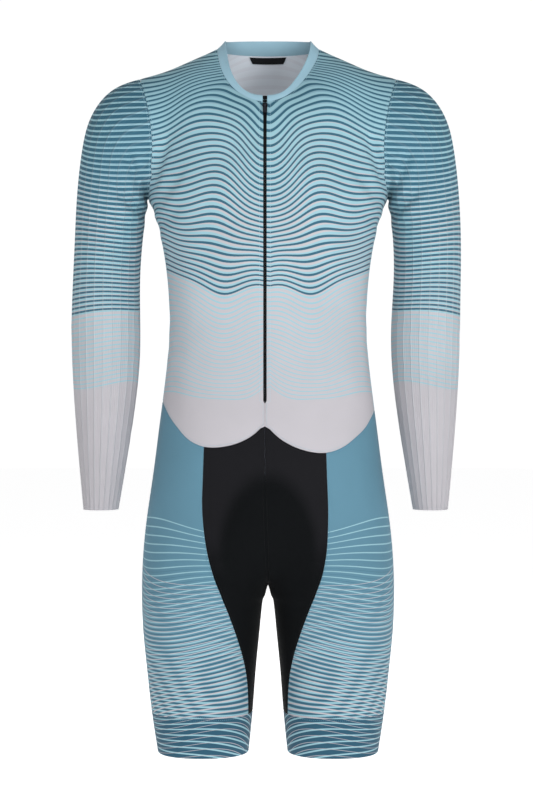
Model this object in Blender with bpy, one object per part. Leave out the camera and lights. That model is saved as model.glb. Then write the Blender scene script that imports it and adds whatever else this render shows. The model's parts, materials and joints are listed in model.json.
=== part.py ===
"""A long-sleeved time trial suit, standing in the hollow shape it has when it is worn.

The cloth is one smooth surface, made from rings of real size, and it is cut into panels along the
seams. Each panel is then given its thickness, and the zip, the label and the pad are made from the
panels' own points. The suit hangs from the shoulders: the origin lies between the two points where
the shoulder meets the collar, +Z up, with the front at -Y and the wearer's left at +X.
Sizes are in millimetres and are turned into metres when the meshes are made.
"""

import math

import bmesh
import bpy
import numpy as np
from mathutils import Matrix, Vector

MM = 0.001

# Driving sizes of the cloth
WALL = 1.2
SEAM_GAP = 0.36
LAYER_GAP = 0.35
RIB_HEIGHT = 0.5
SUBDIVISION = 1
SHARP_ANGLE = 40

# Columns of the surface, counted on one side of the body
FRONT_COLUMNS = 4
UNDERARM_COLUMNS = 2
SHOULDER_COLUMNS = 10
BACK_COLUMNS = 4
CROTCH_COLUMNS = 4
SIDE_SEAM_ANGLE = -8.0
SHOULDER_SEAM_COLUMN = 10
YOKE_ROWS = 3
ROUNDNESS = 2.25

# Rings round the trunk, from under the arms to the hips
TRUNK_RINGS = (
    # height, half width, front, back
    (-264, 158.5, -120, 106),
    (-330, 147.2, -112, 95),
    (-405, 143.6, -105, 86),
    (-480, 150.0, -105, 94),
    (-550, 159.5, -107, 112),
    (-620, 169.0, -104, 125),
    (-690, 179.2, -97, 122),
)
CHEST_RING = (-205, 171, -121, 114)
HIP_RING = (-750, 184.2, -97, 121)

# The centre line under the body, from the front to the back
CROTCH_LINE = (
    # y, height
    (-66, -748),
    (-36, -770),
    (4, -778),
    (46, -771),
    (84, -748),
)

# Rings round one leg, from the crotch to the hem
LEG_RINGS = (
    # height, centre x, half width, centre y, half depth
    (-800, 96.0, 88.7, 5, 97),
    (-850, 97.6, 85.0, 4, 91),
    (-905, 97.4, 79.4, 1, 84),
    (-964, 96.2, 73.7, -1, 76.5),
    (-1022, 94.7, 66.4, -1, 70),
)
GRIPPER_RING = 3

# Rings round one arm: each runs between an outer and an inner point of the outline
ARM_RINGS = (
    # outer x, outer z, inner x, inner z, centre y, half depth, bow to the neck, underarm angle
    (188, -40, 173.5, -219, 5, 71, 14, 50),
    (229, -57, 177, -222, 5, 70, 6, 46),
    (259, -95, 179, -231, 5, 67, 0, 39),
    (273, -148, 181, -246, 5, 62, 0, 33),
    (281, -228, 184.5, -281, 5, 58, 0, 30),
    (284.5, -335, 186.5, -346, 8, 54, 0, 30),
    (284, -445, 185.0, -445, 7, 50.5, 0, 30),
    (275.5, -560, 197.0, -559, -8, 43.5, 0, 30),
    (263.5, -668, 213.5, -668, -31, 31.5, 0, 30),
)

# The collar: the seam that joins it to the body, and its free top edge
COLLAR_SEAM = {"front": (-88, -86), "side": (74.7, 5, 4), "back": (66, 6), "flare": 0.95}
COLLAR_TOP = {"front": (-80, -76), "side": (63.0, 17, 6), "back": (58, 27), "flare": 0.78}
NECK_DIP = 1.3

# The form between the collar and the chest: sections that stand on the chest's height
YOKE_FORM = (
    # distance from the centre, height of the ridge, front, back
    (0, 26, -121, 114),
    (40, 17, -120, 112),
    (75, 7, -115, 106),
    (100, -2, -108, 100),
    (140, -16, -87, 86),
    (164, -25, -69, 77),
    (190, -37, -60, 70),
)
RIDGE_Y = 5
YOKE_POWER = 2.3
YOKE_SMOOTHING = 3

# Seams drawn as lines on the surface
SCALLOP_SEAM = (
    # distance from the centre, height
    (0, -547),
    (7, -550.5),
    (15.5, -559),
    (35, -571),
    (53.5, -577.5),
    (70.5, -580.5),
    (84.5, -580.5),
    (99.5, -576.5),
    (114, -568.5),
    (126.5, -557),
    (140.7, -541.5),
    (150, -526),
    (158, -512),
)
SCALLOP_TILT = 0.05
BACK_WAIST_SEAM = (
    # distance from the centre, height
    (0, -492),
    (80, -497),
    (158, -512),
)
FRONT_INSET_SEAM = (
    # height, distance from the centre
    (-540, 85),
    (-578, 86.6),
    (-617, 88),
    (-661, 89.5),
    (-692, 88.4),
    (-723, 85.2),
    (-759, 77),
    (-794, 64),
    (-820, 54),
    (-848, 44.5),
    (-876, 36.5),
    (-901, 31.5),
    (-925, 29),
    (-970, 28),
)
BACK_INSET_SEAM = (
    # height, distance from the centre
    (-700, -25),
    (-742, 0),
    (-770, 24),
    (-800, 38),
    (-850, 40),
    (-901, 34),
    (-970, 30),
)

# The seat pad: an arch at the front, down to a level line on the inner thighs
PAD_ARCH = {"height": -735, "rise": 112, "half width": 66}
PAD_LOW = -803
PAD_THICKNESS = 5.0

# The suit hangs a little turned: its front centre line and its lower sleeves lie towards -X
FRONT_LEAN = -4.4
SLEEVE_LEAN = -3.4

# The zip, measured along the front centre line from the collar's top edge
ZIP_END = -511.0
ZIP_HALF_GAP = 2.4
ZIP_CLOSING = 4.0
CHAIN_OUT = 0.5
TAPE_WIDTH = 12.0
TAPE_WALL = 1.0
SLIDER_PLACE = 24.0
SLIDER = {"length": 9.6, "top width": 7.6, "low width": 5.6, "thickness": 1.3, "gap": 0.45}
LUG = {"inside": 1.75, "thickness": 1.0, "length": 4.2, "rise": 0.9}
PIN_RADIUS = 0.55
EYE = {"hole": 0.9, "radius": 1.7, "half width": 1.35, "clear": 0.3}
TAB = {"neck": 3.4, "length": 12.5, "half width": 2.5, "thickness": 1.2, "tilt": 11.0}
ROUND_STEPS = 16

# The patch inside the back of the neck
LABEL = {"top": 2.0, "low": 12.0, "columns": 4, "end inset": 0.55, "thickness": 1.0}

TAGS = ("collar", "front", "back", "sleeve", "leg", "inset", "pad", "gripper")
MATERIALS = {
    # colour, roughness, metallic
    "collar": ((0.33, 0.52, 0.60, 1), 0.8, 0.0),
    "print": ((0.30, 0.47, 0.56, 1), 0.8, 0.0),
    "leg": ((0.12, 0.27, 0.36, 1), 0.8, 0.0),
    "inset": ((0.01, 0.01, 0.012, 1), 0.7, 0.0),
    "gripper": ((0.16, 0.33, 0.43, 1), 0.8, 0.0),
    "pad": ((0.03, 0.03, 0.035, 1), 0.9, 0.0),
    "label": ((0.015, 0.015, 0.015, 1), 0.7, 0.0),
    "zip": ((0.01, 0.01, 0.011, 1), 0.5, 0.0),
    "metal": ((0.04, 0.04, 0.045, 1), 0.35, 0.8),
}


def clear_scene():
    for obj in list(bpy.data.objects):
        bpy.data.objects.remove(obj)


def smooth_step(value, start, end):
    share = min(max((value - start) / (end - start), 0.0), 1.0)
    return share * share * (3 - 2 * share)


def power(value, exponent):
    return math.copysign(abs(value) ** exponent, value)


def along(table, position, column=1):
    """Reads a column of a table at a position, on a smooth curve through its rows."""
    rows = sorted(table)
    places = np.array([row[0] for row in rows], float)
    values = np.array([row[column] for row in rows], float)
    steps = np.diff(places)
    slopes = np.diff(values) / steps
    tangents = np.concatenate([slopes[:1], (slopes[:-1] + slopes[1:]) / 2, slopes[-1:]])
    position = min(max(position, places[0]), places[-1])
    i = int(min(np.searchsorted(places, position, side="right") - 1, len(steps) - 1))
    t = (position - places[i]) / steps[i]
    return float(
        (2 * t**3 - 3 * t**2 + 1) * values[i]
        + (t**3 - 2 * t**2 + t) * steps[i] * tangents[i]
        + (3 * t**2 - 2 * t**3) * values[i + 1]
        + (t**3 - t**2) * steps[i] * tangents[i + 1]
    )


# Rings of the surface


def oval(angle, half_width, front, back):
    """A point of a rounded section: -90 degrees is the front, 0 the side and 90 the back."""
    x = half_width * power(math.cos(math.radians(angle)), 2 / ROUNDNESS)
    y = (back - front) / 2 * power(math.sin(math.radians(angle)), 2 / ROUNDNESS)
    return x, (front + back) / 2 + y


def trunk_angles():
    """The angles of the columns round half the trunk; the side seam is one of them."""
    front = np.linspace(-90, SIDE_SEAM_ANGLE, FRONT_COLUMNS + UNDERARM_COLUMNS // 2 + 1)
    back = np.linspace(SIDE_SEAM_ANGLE, 90, BACK_COLUMNS + UNDERARM_COLUMNS // 2 + 1)
    return [*front, *back[1:]]


def trunk_ring(height, half_width, front, back):
    return [(*oval(a, half_width, front, back), height) for a in trunk_angles()]


def leg_angles():
    """Columns round a leg: the trunk's columns first, then those of the inner thigh."""
    count = len(trunk_angles()) - 1 + CROTCH_COLUMNS
    first = -180 + 360 / count * CROTCH_COLUMNS / 2
    return [first + 360 / count * i for i in range(count)]


def leg_ring(height, centre_x, half_width, centre_y, half_depth):
    points = []
    for angle in leg_angles():
        x, y = oval(angle, half_width, -half_depth, half_depth)
        points.append((centre_x + x, centre_y + y, height))
    return points


def hip_rings():
    """Where the trunk parts into legs: half a trunk ring, then the line under the crotch."""
    outer = []
    for trunk, leg in zip(trunk_ring(*HIP_RING), leg_ring(*LEG_RINGS[0])):
        outer.append(((trunk[0] + leg[0]) / 2, (trunk[1] + leg[1]) / 2, HIP_RING[0]))
    outer[0] = (0, *CROTCH_LINE[0])
    outer[-1] = (0, *CROTCH_LINE[-1])
    return outer, [(0, y, z) for y, z in CROTCH_LINE[-2:0:-1]]


def arm_ring(outer_x, outer_z, inner_x, inner_z, centre_y, half_depth, bow, underarm):
    """Starts at the front underarm point, goes over the top and ends under the arm."""
    over = np.linspace(180 - underarm, underarm - 180, SHOULDER_COLUMNS + 1)
    under = np.linspace(underarm - 180, -180 - underarm, UNDERARM_COLUMNS + 1)
    points = []
    for angle in np.radians([*over, *under[1:-1]]):
        up, forward = math.cos(angle), math.sin(angle)
        x = (outer_x + inner_x) / 2 + (outer_x - inner_x) / 2 * up - bow * forward**2
        z = (outer_z + inner_z) / 2 + (outer_z - inner_z) / 2 * up
        points.append((x, centre_y - half_depth * forward, z))
    return points


def neck_ring(line):
    """Half a ring round the neck, through its front, side and back points."""
    (front_y, front_z), (side_x, side_z, side_y), (back_y, back_z), flare = line.values()
    columns = FRONT_COLUMNS + SHOULDER_COLUMNS + BACK_COLUMNS
    points = []
    for i in range(columns + 1):
        angle = math.radians(-90 + 180 * i / columns)
        end_y, end_z = (front_y, front_z) if angle < 0 else (back_y, back_z)
        share = abs(math.sin(angle))
        x = side_x * power(max(math.cos(angle), 0.0), flare)
        z = side_z + (end_z - side_z) * share**NECK_DIP
        points.append((x if i % columns else 0.0, side_y + (end_y - side_y) * share, z))
    return points


def yoke_reach(point):
    """How much further from the middle than a point the full, rounded form lies."""
    x, y, z = point
    low = CHEST_RING[0]
    depth = abs(along(YOKE_FORM, x, 2 if y < RIDGE_Y else 3) - RIDGE_Y)
    rise = along(YOKE_FORM, x) - low
    size = (abs(y - RIDGE_Y) / depth) ** YOKE_POWER + (max(z - low, 0) / rise) ** YOKE_POWER
    return size ** (-1 / YOKE_POWER)


def yoke_rings():
    """Rings from the collar seam to the chest and the armholes, each from front to back."""
    seam = neck_ring(COLLAR_SEAM)
    armhole = arm_ring(*ARM_RINGS[0])[: SHOULDER_COLUMNS + 1]
    chest = trunk_ring(*CHEST_RING)
    edge = chest[:FRONT_COLUMNS] + armhole + chest[-BACK_COLUMNS:]
    low = CHEST_RING[0]
    rings = []
    for row in range(YOKE_ROWS + 1):
        share = row / YOKE_ROWS
        ring = []
        for start, end in zip(seam, edge):
            x, y, z = (a + (b - a) * share for a, b in zip(start, end))
            at_start = (1 / yoke_reach(start) - 1) * (1 - share) ** 2
            at_end = (1 / yoke_reach(end) - 1) * share**3
            scale = yoke_reach((x, y, z)) * (1 + at_start + at_end)
            ring.append((x, RIDGE_Y + (y - RIDGE_Y) * scale, low + (z - low) * scale))
        rings.append(evened(ring) if 0 < row < YOKE_ROWS else ring)
    rings[-1] = edge
    return rings


def evened(ring):
    """The ring with its bumps taken out; its ends stay on the centre plane."""
    points = np.array(ring)
    for _ in range(YOKE_SMOOTHING):
        points[1:-1] = points[1:-1] / 2 + (points[:-2] + points[2:]) / 4
    return [tuple(point) for point in points]


class Cage:
    """The rings of one side joined into four-sided faces, each with the tag of its panel."""

    def __init__(self):
        self.points = []
        self.faces = []
        self.tags = []

    def add(self, points):
        start = len(self.points)
        self.points.extend(points)
        return list(range(start, len(self.points)))

    def band(self, upper, lower, tag_of, closed=False):
        for i in range(len(upper) - (0 if closed else 1)):
            j = (i + 1) % len(upper)
            self.faces.append((upper[i], lower[i], lower[j], upper[j]))
            self.tags.append(TAGS.index(tag_of(i)))


def half_cage():
    """One side of the body, x >= 0."""
    cage = Cage()
    rings = yoke_rings()

    def yoke_tag(i):
        return "front" if i < SHOULDER_SEAM_COLUMN else "back"

    def trunk_tag(i):
        return "front" if i < FRONT_COLUMNS + UNDERARM_COLUMNS // 2 else "back"

    upper = cage.add(neck_ring(COLLAR_TOP))
    for ring, tag_of in zip(rings, [lambda i: "collar"] + [yoke_tag] * YOKE_ROWS):
        lower = cage.add(ring)
        cage.band(upper, lower, tag_of)
        upper = lower

    armpit = cage.add(arm_ring(*ARM_RINGS[0])[SHOULDER_COLUMNS + 1 :])
    shoulder = upper[FRONT_COLUMNS:-BACK_COLUMNS]
    upper = upper[: FRONT_COLUMNS + 1] + armpit[::-1] + upper[-BACK_COLUMNS - 1 :]
    for row in TRUNK_RINGS:
        lower = cage.add(trunk_ring(*row))
        cage.band(upper, lower, trunk_tag)
        upper = lower
    outer, crotch = hip_rings()
    lower = cage.add(outer)
    cage.band(upper, lower, trunk_tag)
    upper = lower + cage.add(crotch)
    for number, row in enumerate(LEG_RINGS):
        lower = cage.add(leg_ring(*row))
        tag = "gripper" if number > GRIPPER_RING else "leg"
        cage.band(upper, lower, lambda i, tag=tag: tag, closed=True)
        upper = lower

    upper = shoulder + armpit
    for row in ARM_RINGS[1:]:
        lower = cage.add(arm_ring(*row))
        cage.band(upper, lower, lambda i: "sleeve", closed=True)
        upper = lower
    return cage


def whole_cage():
    """Both sides, sharing the points on the centre plane."""
    half = half_cage()
    points = list(half.points)
    mirror = []
    for i, (x, y, z) in enumerate(half.points):
        if abs(x) < 1e-6:
            mirror.append(i)
        else:
            mirror.append(len(points))
            points.append((-x, y, z))
    faces = half.faces + [tuple(mirror[i] for i in face[::-1]) for face in half.faces]
    return np.array(points, float), faces, half.tags * 2


def smooth_surface():
    """The smooth surface that passes through every point of the rings, as a bmesh."""
    points, faces, tags = whole_cage()
    mesh = bpy.data.meshes.new("surface")
    mesh.from_pydata([Vector(p) for p in points], [], faces)
    mesh.polygons.foreach_set("material_index", tags)
    for tag in TAGS:
        mesh.materials.append(None)
    obj = bpy.data.objects.new("surface", mesh)
    bpy.context.scene.collection.objects.link(obj)
    smoothing = obj.modifiers.new("smooth", "SUBSURF")
    smoothing.levels = smoothing.render_levels = SUBDIVISION
    smoothing.boundary_smooth = "ALL"

    def smoothed():
        bpy.context.view_layer.update()
        return obj.evaluated_get(bpy.context.evaluated_depsgraph_get()).data

    guide = points.copy()
    for _ in range(8):
        found = np.empty(len(smoothed().vertices) * 3)
        smoothed().vertices.foreach_get("co", found)
        guide += points - found.reshape(-1, 3)[: len(points)]
        mesh.vertices.foreach_set("co", guide.ravel())
        mesh.update()
    surface = bmesh.new()
    surface.from_mesh(smoothed())
    bpy.data.objects.remove(obj)
    return surface


# Seams cut into the surface


def on_a_panel_edge(edge):
    faces = edge.link_faces
    return len(faces) < 2 or faces[0].material_index != faces[1].material_index


def snap_to_seam(edges, height, reach=0.3):
    """Slides points that lie close to a seam onto it, so that the cut leaves no slivers."""
    best = {}
    for edge in edges:
        a, b = edge.verts
        if height[a] * height[b] >= 0:
            continue
        share = height[a] / (height[a] - height[b])
        for vert, part, other in ((a, share, b), (b, 1 - share, a)):
            held = any(on_a_panel_edge(e) for e in vert.link_edges)
            if part < reach and (not held or on_a_panel_edge(edge)):
                if vert not in best or part < best[vert][0]:
                    best[vert] = (part, vert.co.lerp(other.co, part))
    for vert, (_, place) in best.items():
        vert.co = place
        height[vert] = 0.0


def seam_ends(face, height):
    """The two corners of a face between which the seam runs, if it crosses the face."""
    verts = list(face.verts)
    zeros = [i for i, v in enumerate(verts) if height[v] == 0.0]
    for n, i in enumerate(zeros):
        for j in zeros[n + 1 :]:
            one = [height[v] for v in verts[i + 1 : j]]
            other = [height[v] for v in verts[j + 1 :] + verts[:i]]
            if one and other and (max(one) <= 0 <= min(other) or max(other) <= 0 <= min(one)):
                return verts[i], verts[j]
    return None


def cut_seam(surface, tags, seam, below):
    """Cuts the faces with these tags where seam(point) is 0, and tags the side under 0."""
    wanted = {TAGS.index(tag) for tag in tags}
    faces = [f for f in surface.faces if f.material_index in wanted]
    height = {v: seam(v.co) for v in {v for f in faces for v in f.verts}}
    edges = {e for f in faces for e in f.edges}
    snap_to_seam(sorted(edges, key=lambda e: e.index), height)
    for edge in edges:
        a, b = edge.verts
        if height[a] * height[b] < 0:
            share = height[a] / (height[a] - height[b])
            _, middle = bmesh.utils.edge_split(edge, a, share)
            height[middle] = 0.0
    for face in faces:
        pair = seam_ends(face, height)
        if pair:
            bmesh.utils.face_split(face, *pair)
    for face in surface.faces:
        if face.material_index in wanted and sum(height.get(v, 0.0) for v in face.verts) < 0:
            face.material_index = TAGS.index(below)
    surface.verts.index_update()
    surface.edges.index_update()
    surface.faces.index_update()


def waist_seam(point):
    if point.y > 0:
        return point.z - along(BACK_WAIST_SEAM, abs(point.x))
    return point.z - along(SCALLOP_SEAM, abs(point.x)) + SCALLOP_TILT * point.x


def inset_seam(point):
    table = FRONT_INSET_SEAM if point.y < 0 else BACK_INSET_SEAM
    return abs(point.x) - along(table, point.z)


def pad_seam(point):
    """Negative inside the pad's outline."""
    low, rise, half_width = PAD_ARCH.values()
    if point.z < low:
        return PAD_LOW - point.z
    arch = math.hypot(point.x / half_width, (point.z - low) / rise)
    return (arch - 1) * half_width if point.y < 0 else -half_width


def is_centre(vert):
    return abs(vert.co.x) < 1e-3


def split_zip_line(surface):
    """Adds points to the front centre line where the zip ends and its slot closes."""
    for height in (ZIP_END, ZIP_END - ZIP_CLOSING):
        for edge in list(surface.edges):
            a, b = edge.verts
            crosses = (a.co.z - height) * (b.co.z - height) < 0
            if crosses and is_centre(a) and is_centre(b) and a.co.y < 0:
                bmesh.utils.edge_split(edge, a, (a.co.z - height) / (a.co.z - b.co.z))


def lean(surface):
    """Turns the front and the lower sleeves a little to one side."""
    sleeve = TAGS.index("sleeve")
    for vert in surface.verts:
        if all(f.material_index == sleeve for f in vert.link_faces):
            vert.co.x += SLEEVE_LEAN * smooth_step(-vert.co.z, 250, 420)
        else:
            share = smooth_step(-vert.co.y, 15, 70) * smooth_step(-abs(vert.co.x), -150, -95)
            vert.co.x += FRONT_LEAN * share * smooth_step(vert.co.z, -790, -640)


def garment_surface():
    """The whole surface with its seams, and the points of its front centre line, from the top."""
    surface = smooth_surface()
    cut_seam(surface, ("front", "back"), waist_seam, "leg")
    cut_seam(surface, ("leg",), inset_seam, "inset")
    cut_seam(surface, ("inset",), pad_seam, "pad")
    split_zip_line(surface)
    surface.verts.index_update()
    bmesh.ops.recalc_face_normals(surface, faces=surface.faces)
    centre = [v for v in surface.verts if is_centre(v) and v.co.y < -60 and v.co.z > ZIP_END - 40]
    centre.sort(key=lambda v: -v.co.z)
    lean(surface)
    surface.normal_update()
    return surface, centre


# Walls of cloth


def side_of(face, vert):
    return 1 if face.calc_center_median().x > vert.co.x else -1


class Cutter:
    """Makes the solids of the panels from the surface."""

    def __init__(self, surface, centre):
        self.surface = surface
        self.centre = set(centre)
        self.zip_line = {v for v in centre if v.co.z > ZIP_END - 1e-3}

    def is_border(self, edge, faces):
        open_zip = edge.verts[0] in self.zip_line and edge.verts[1] in self.zip_line
        return open_zip or sum(f in faces for f in edge.link_faces) == 1

    def corner(self, face, vert):
        """A point of the zip line is there twice, once for each side."""
        return vert, side_of(face, vert) if vert in self.zip_line else 0

    def shift(self, corner, faces):
        """How far a corner moves into its panel, to leave half of each seam's gap."""
        vert, _ = corner
        pushes = []
        for face in vert.link_faces:
            if face not in faces or self.corner(face, vert) != corner:
                continue
            for edge in face.edges:
                if vert not in edge.verts or not self.is_border(edge, faces):
                    continue
                across = face.normal.cross(edge.verts[1].co - edge.verts[0].co).normalized()
                if across.dot(face.calc_center_median() - vert.co) < 0:
                    across.negate()
                slot = vert in self.zip_line and edge.other_vert(vert) in self.centre
                pushes.append((across, ZIP_HALF_GAP if slot else SEAM_GAP / 2))
        if len(pushes) != 2:
            return Vector()
        (one, gap), (other, other_gap) = pushes
        turn = one.dot(other)
        if turn > 0.97:
            return (one + other).normalized() * (gap + other_gap) / 2
        spread = 1 - turn**2
        return one * (gap - turn * other_gap) / spread + other * (other_gap - turn * gap) / spread

    def ring_edges(self, faces):
        """The edges that run round a sleeve, found from the armhole down."""
        ends = {e for f in faces for e in f.edges if self.is_border(e, faces)}
        found = set(ends)
        rows = list(ends)
        while rows:
            edge = rows.pop()
            for face in edge.link_faces:
                if face not in faces:
                    continue
                opposite = next(e for e in face.edges if not set(e.verts) & set(edge.verts))
                if opposite not in found:
                    found.add(opposite)
                    rows.append(opposite)
        return found

    def panel(self, name, wanted, material, outer=0.0, inner=-WALL, ribs=False):
        """A wall of cloth on the faces that are wanted. outer and inner are its two sides,
        measured out from the surface. Ribs add raised points between the outer ones."""
        faces = [f for f in self.surface.faces if wanted(f)]
        chosen = set(faces)
        solid = bmesh.new()
        pairs = {}
        for face in faces:
            for vert in face.verts:
                corner = self.corner(face, vert)
                if corner not in pairs:
                    place = vert.co + self.shift(corner, chosen)
                    pairs[corner] = [
                        solid.verts.new((place + vert.normal * out) * MM) for out in (outer, inner)
                    ]
        raised = {}
        for edge in sorted(self.ring_edges(chosen), key=lambda e: e.index) if ribs else ():
            a, b = edge.verts
            middle = (a.normal + b.normal).normalized()
            sag = (a.co - b.co).length / 2 * math.tan(a.normal.angle(b.normal) / 4)
            rise = (sag + RIB_HEIGHT) * MM
            ends = [pairs[v, 0][0].co for v in (a, b)]
            raised[edge] = solid.verts.new((ends[0] + ends[1]) / 2 + middle * rise)
        for face in faces:
            self.add_faces(solid, face, chosen, pairs, raised)
        bmesh.ops.recalc_face_normals(solid, faces=solid.faces)
        return make_object(name, solid, material)

    def add_faces(self, solid, face, chosen, pairs, raised):
        loops = list(face.loops)
        top = []
        for loop in loops:
            top.append(pairs[self.corner(face, loop.vert)][0])
            if loop.edge in raised:
                top.append(raised[loop.edge])
            if self.is_border(loop.edge, chosen):
                a, a_in = pairs[self.corner(face, loop.vert)]
                b, b_in = pairs[self.corner(face, loop.link_loop_next.vert)]
                rib = [raised[loop.edge]] if loop.edge in raised else []
                solid.faces.new([a, *rib, b, b_in, a_in])
        solid.faces.new([pairs[self.corner(face, loop.vert)][1] for loop in reversed(loops)])
        ribs = [i for i, vert in enumerate(top) if vert in raised.values()]
        if len(ribs) == 2:
            first, second = ribs
            solid.faces.new(top[first : second + 1])
            solid.faces.new(top[second:] + top[: first + 1])
        else:
            solid.faces.new(top)


def make_object(name, solid, material, place=None):
    bmesh.ops.triangulate(solid, faces=solid.faces)
    mesh = bpy.data.meshes.new(name)
    solid.to_mesh(mesh)
    solid.free()
    mesh.shade_smooth()
    mesh.set_sharp_from_angle(angle=math.radians(SHARP_ANGLE))
    mesh.materials.append(material)
    obj = bpy.data.objects.new(name, mesh)
    if place:
        obj.matrix_world = place
    bpy.context.scene.collection.objects.link(obj)
    return obj


def strip(name, grid, outer, inner, material):
    """A solid on a grid of points of the surface, each with its normal."""
    solid = bmesh.new()
    tops = [[solid.verts.new((co + n * outer) * MM) for co, n in row] for row in grid]
    lows = [[solid.verts.new((co + n * inner) * MM) for co, n in row] for row in grid]
    for i in range(len(grid) - 1):
        for j in range(len(grid[0]) - 1):
            for side in (tops, lows):
                solid.faces.new(
                    [side[i][j], side[i + 1][j], side[i + 1][j + 1], side[i][j + 1]]
                )
    rim = bmesh.ops.bridge_loops(solid, edges=[e for e in solid.edges if e.is_boundary])
    bmesh.ops.recalc_face_normals(solid, faces=solid.faces)
    return make_object(name, solid, material)


def between(vert, other, distance):
    """A point on an edge of the surface, with its normal, that far from the first end."""
    share = distance / (other.co - vert.co).length
    return vert.co.lerp(other.co, share), vert.normal.lerp(other.normal, share).normalized()


def neighbour(vert, direction):
    """The end of the edge that leaves a point nearest to a direction."""
    others = [edge.other_vert(vert) for edge in vert.link_edges]
    return max(others, key=lambda v: (v.co - vert.co).normalized().dot(direction))


# The zip


def make_zip(surface, centre, materials):
    rows = [v for v in centre if len(v.link_edges) > 3 or v == centre[0]]
    rows = [v for v in rows if v.co.z > ZIP_END - 30]
    left, right = Vector((1, 0, 0)), Vector((-1, 0, 0))
    grid = []
    for vert in [v for v in centre if v.co.z > ZIP_END - 1e-3]:
        grid.append([chain_point(vert, side, rows) for side in (left, right)])
    strip("zip_chain", grid, CHAIN_OUT, -WALL, materials["zip"])
    top = -WALL - LAYER_GAP
    for word, side in (("left", left), ("right", right)):
        grid = []
        for vert in rows:
            other = neighbour(vert, side)
            width = min(TAPE_WIDTH, 0.95 * (other.co - vert.co).length)
            grid.append([between(vert, other, SEAM_GAP / 2), between(vert, other, width)])
        strip(f"zip_tape_{word}", grid, top, top - TAPE_WALL, materials["zip"])
    make_slider(centre, materials)


def chain_point(vert, side, rows):
    """An edge of the row of teeth: beside a point of the zip line, clear of the panel."""
    reach = ZIP_HALF_GAP - LAYER_GAP
    if vert in rows:
        return between(vert, neighbour(vert, side), reach)
    return vert.co + side * reach, vert.normal


def zip_frame(centre, distance):
    """Where the slider sits: the matrix of the zip line that far below the collar's top."""
    for upper, lower in zip(centre, centre[1:]):
        length = (lower.co - upper.co).length
        if distance <= length:
            break
        distance -= length
    place = upper.co.lerp(lower.co, distance / length)
    across = Vector((1, 0, 0))
    up = (upper.co - lower.co).normalized()
    out = across.cross(up).normalized()
    axes = Matrix((across, up, out)).transposed()
    return Matrix.Translation(place * MM) @ axes.to_4x4()


def outline_solid(outline, low, high):
    """A flat outline in x and y, given a thickness along z."""
    solid = bmesh.new()
    face = solid.faces.new([solid.verts.new(Vector((x, y, low)) * MM) for x, y in outline])
    raised = bmesh.ops.extrude_face_region(solid, geom=[face])["geom"]
    top = [v for v in raised if isinstance(v, bmesh.types.BMVert)]
    bmesh.ops.translate(solid, verts=top, vec=Vector((0, 0, high - low)) * MM)
    bmesh.ops.recalc_face_normals(solid, faces=solid.faces)
    return solid


def turned(solid, out=0.0):
    """The same solid with its thickness along x, lifted out from the zip."""
    turn = Matrix(((0, 0, 1), (1, 0, 0), (0, 1, 0))).to_4x4()
    bmesh.ops.transform(solid, matrix=Matrix.Translation((0, 0, out * MM)) @ turn, verts=solid.verts)
    return solid


def circle(radius):
    steps = [2 * math.pi * (i + 0.5) / ROUND_STEPS for i in range(ROUND_STEPS)]
    return [(radius * math.cos(a), radius * math.sin(a)) for a in steps]


def box_outline(left, right, low, high):
    return [(left, low), (right, low), (right, high), (left, high)]


def joined(name, body, others, operation, material, place):
    """One solid joined with others, or cut by them."""
    obj = make_object(name, body, material, place)
    tools = []
    for solid in others:
        tool = make_object("tool", solid, material, place)
        change = obj.modifiers.new("join", "BOOLEAN")
        change.operation = operation
        change.object = tool
        tools.append(tool)
    bpy.context.view_layer.update()
    result = obj.evaluated_get(bpy.context.evaluated_depsgraph_get())
    mesh = bpy.data.meshes.new_from_object(result)
    obj.modifiers.clear()
    obj.data = mesh
    for tool in tools:
        bpy.data.objects.remove(tool)
    return obj


def make_slider(centre, materials):
    place = zip_frame(centre, SLIDER_PLACE)
    length, top_width, low_width, thickness, gap = SLIDER.values()
    low = CHAIN_OUT + gap
    top = low + thickness
    pin = top + EYE["clear"] + EYE["radius"]
    half = length / 2
    plate = outline_solid(
        [
            (-low_width / 2, -half),
            (low_width / 2, -half),
            (top_width / 2, half * 0.3),
            (top_width / 2 * 0.8, half),
            (-top_width / 2 * 0.8, half),
            (-top_width / 2, half * 0.3),
        ],
        low,
        top,
    )
    parts = []
    inside, wall, lug_length, rise = LUG.values()
    profile = box_outline(-lug_length / 2, lug_length / 2, top - thickness / 2, pin + rise)
    for start in (inside, -inside - wall):
        parts.append(turned(outline_solid(profile, start, start + wall)))
    parts.append(turned(outline_solid(circle(PIN_RADIUS), -inside - wall / 2, inside + wall / 2), pin))
    joined("zip_slider", plate, parts, "UNION", materials["metal"], place)

    axis = place @ Matrix.Translation((0, 0, pin * MM))
    tilt = Matrix.Rotation(math.radians(TAB["tilt"]), 4, "X")
    eye = turned(outline_solid(circle(EYE["radius"]), -EYE["half width"], EYE["half width"]))
    neck, tab_length, half_width, tab_wall = list(TAB.values())[:4]
    narrow = EYE["half width"]
    tab = outline_solid(
        [
            (-narrow, -EYE["hole"] - 0.3),
            (-narrow, -neck),
            (-half_width, -neck - 1),
            (-half_width, -tab_length + 1),
            (-half_width + 1, -tab_length),
            (half_width - 1, -tab_length),
            (half_width, -tab_length + 1),
            (half_width, -neck - 1),
            (narrow, -neck),
            (narrow, -EYE["hole"] - 0.3),
        ],
        -tab_wall / 2,
        tab_wall / 2,
    )
    pull = joined("zip_pull", eye, [tab], "UNION", materials["metal"], axis @ tilt)
    hole = turned(outline_solid(circle(EYE["hole"]), -half_width, half_width))
    body = bmesh.new()
    body.from_mesh(pull.data)
    bpy.data.objects.remove(pull)
    joined("zip_pull", body, [hole], "DIFFERENCE", materials["metal"], axis @ tilt)


# The label and the whole suit


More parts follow.
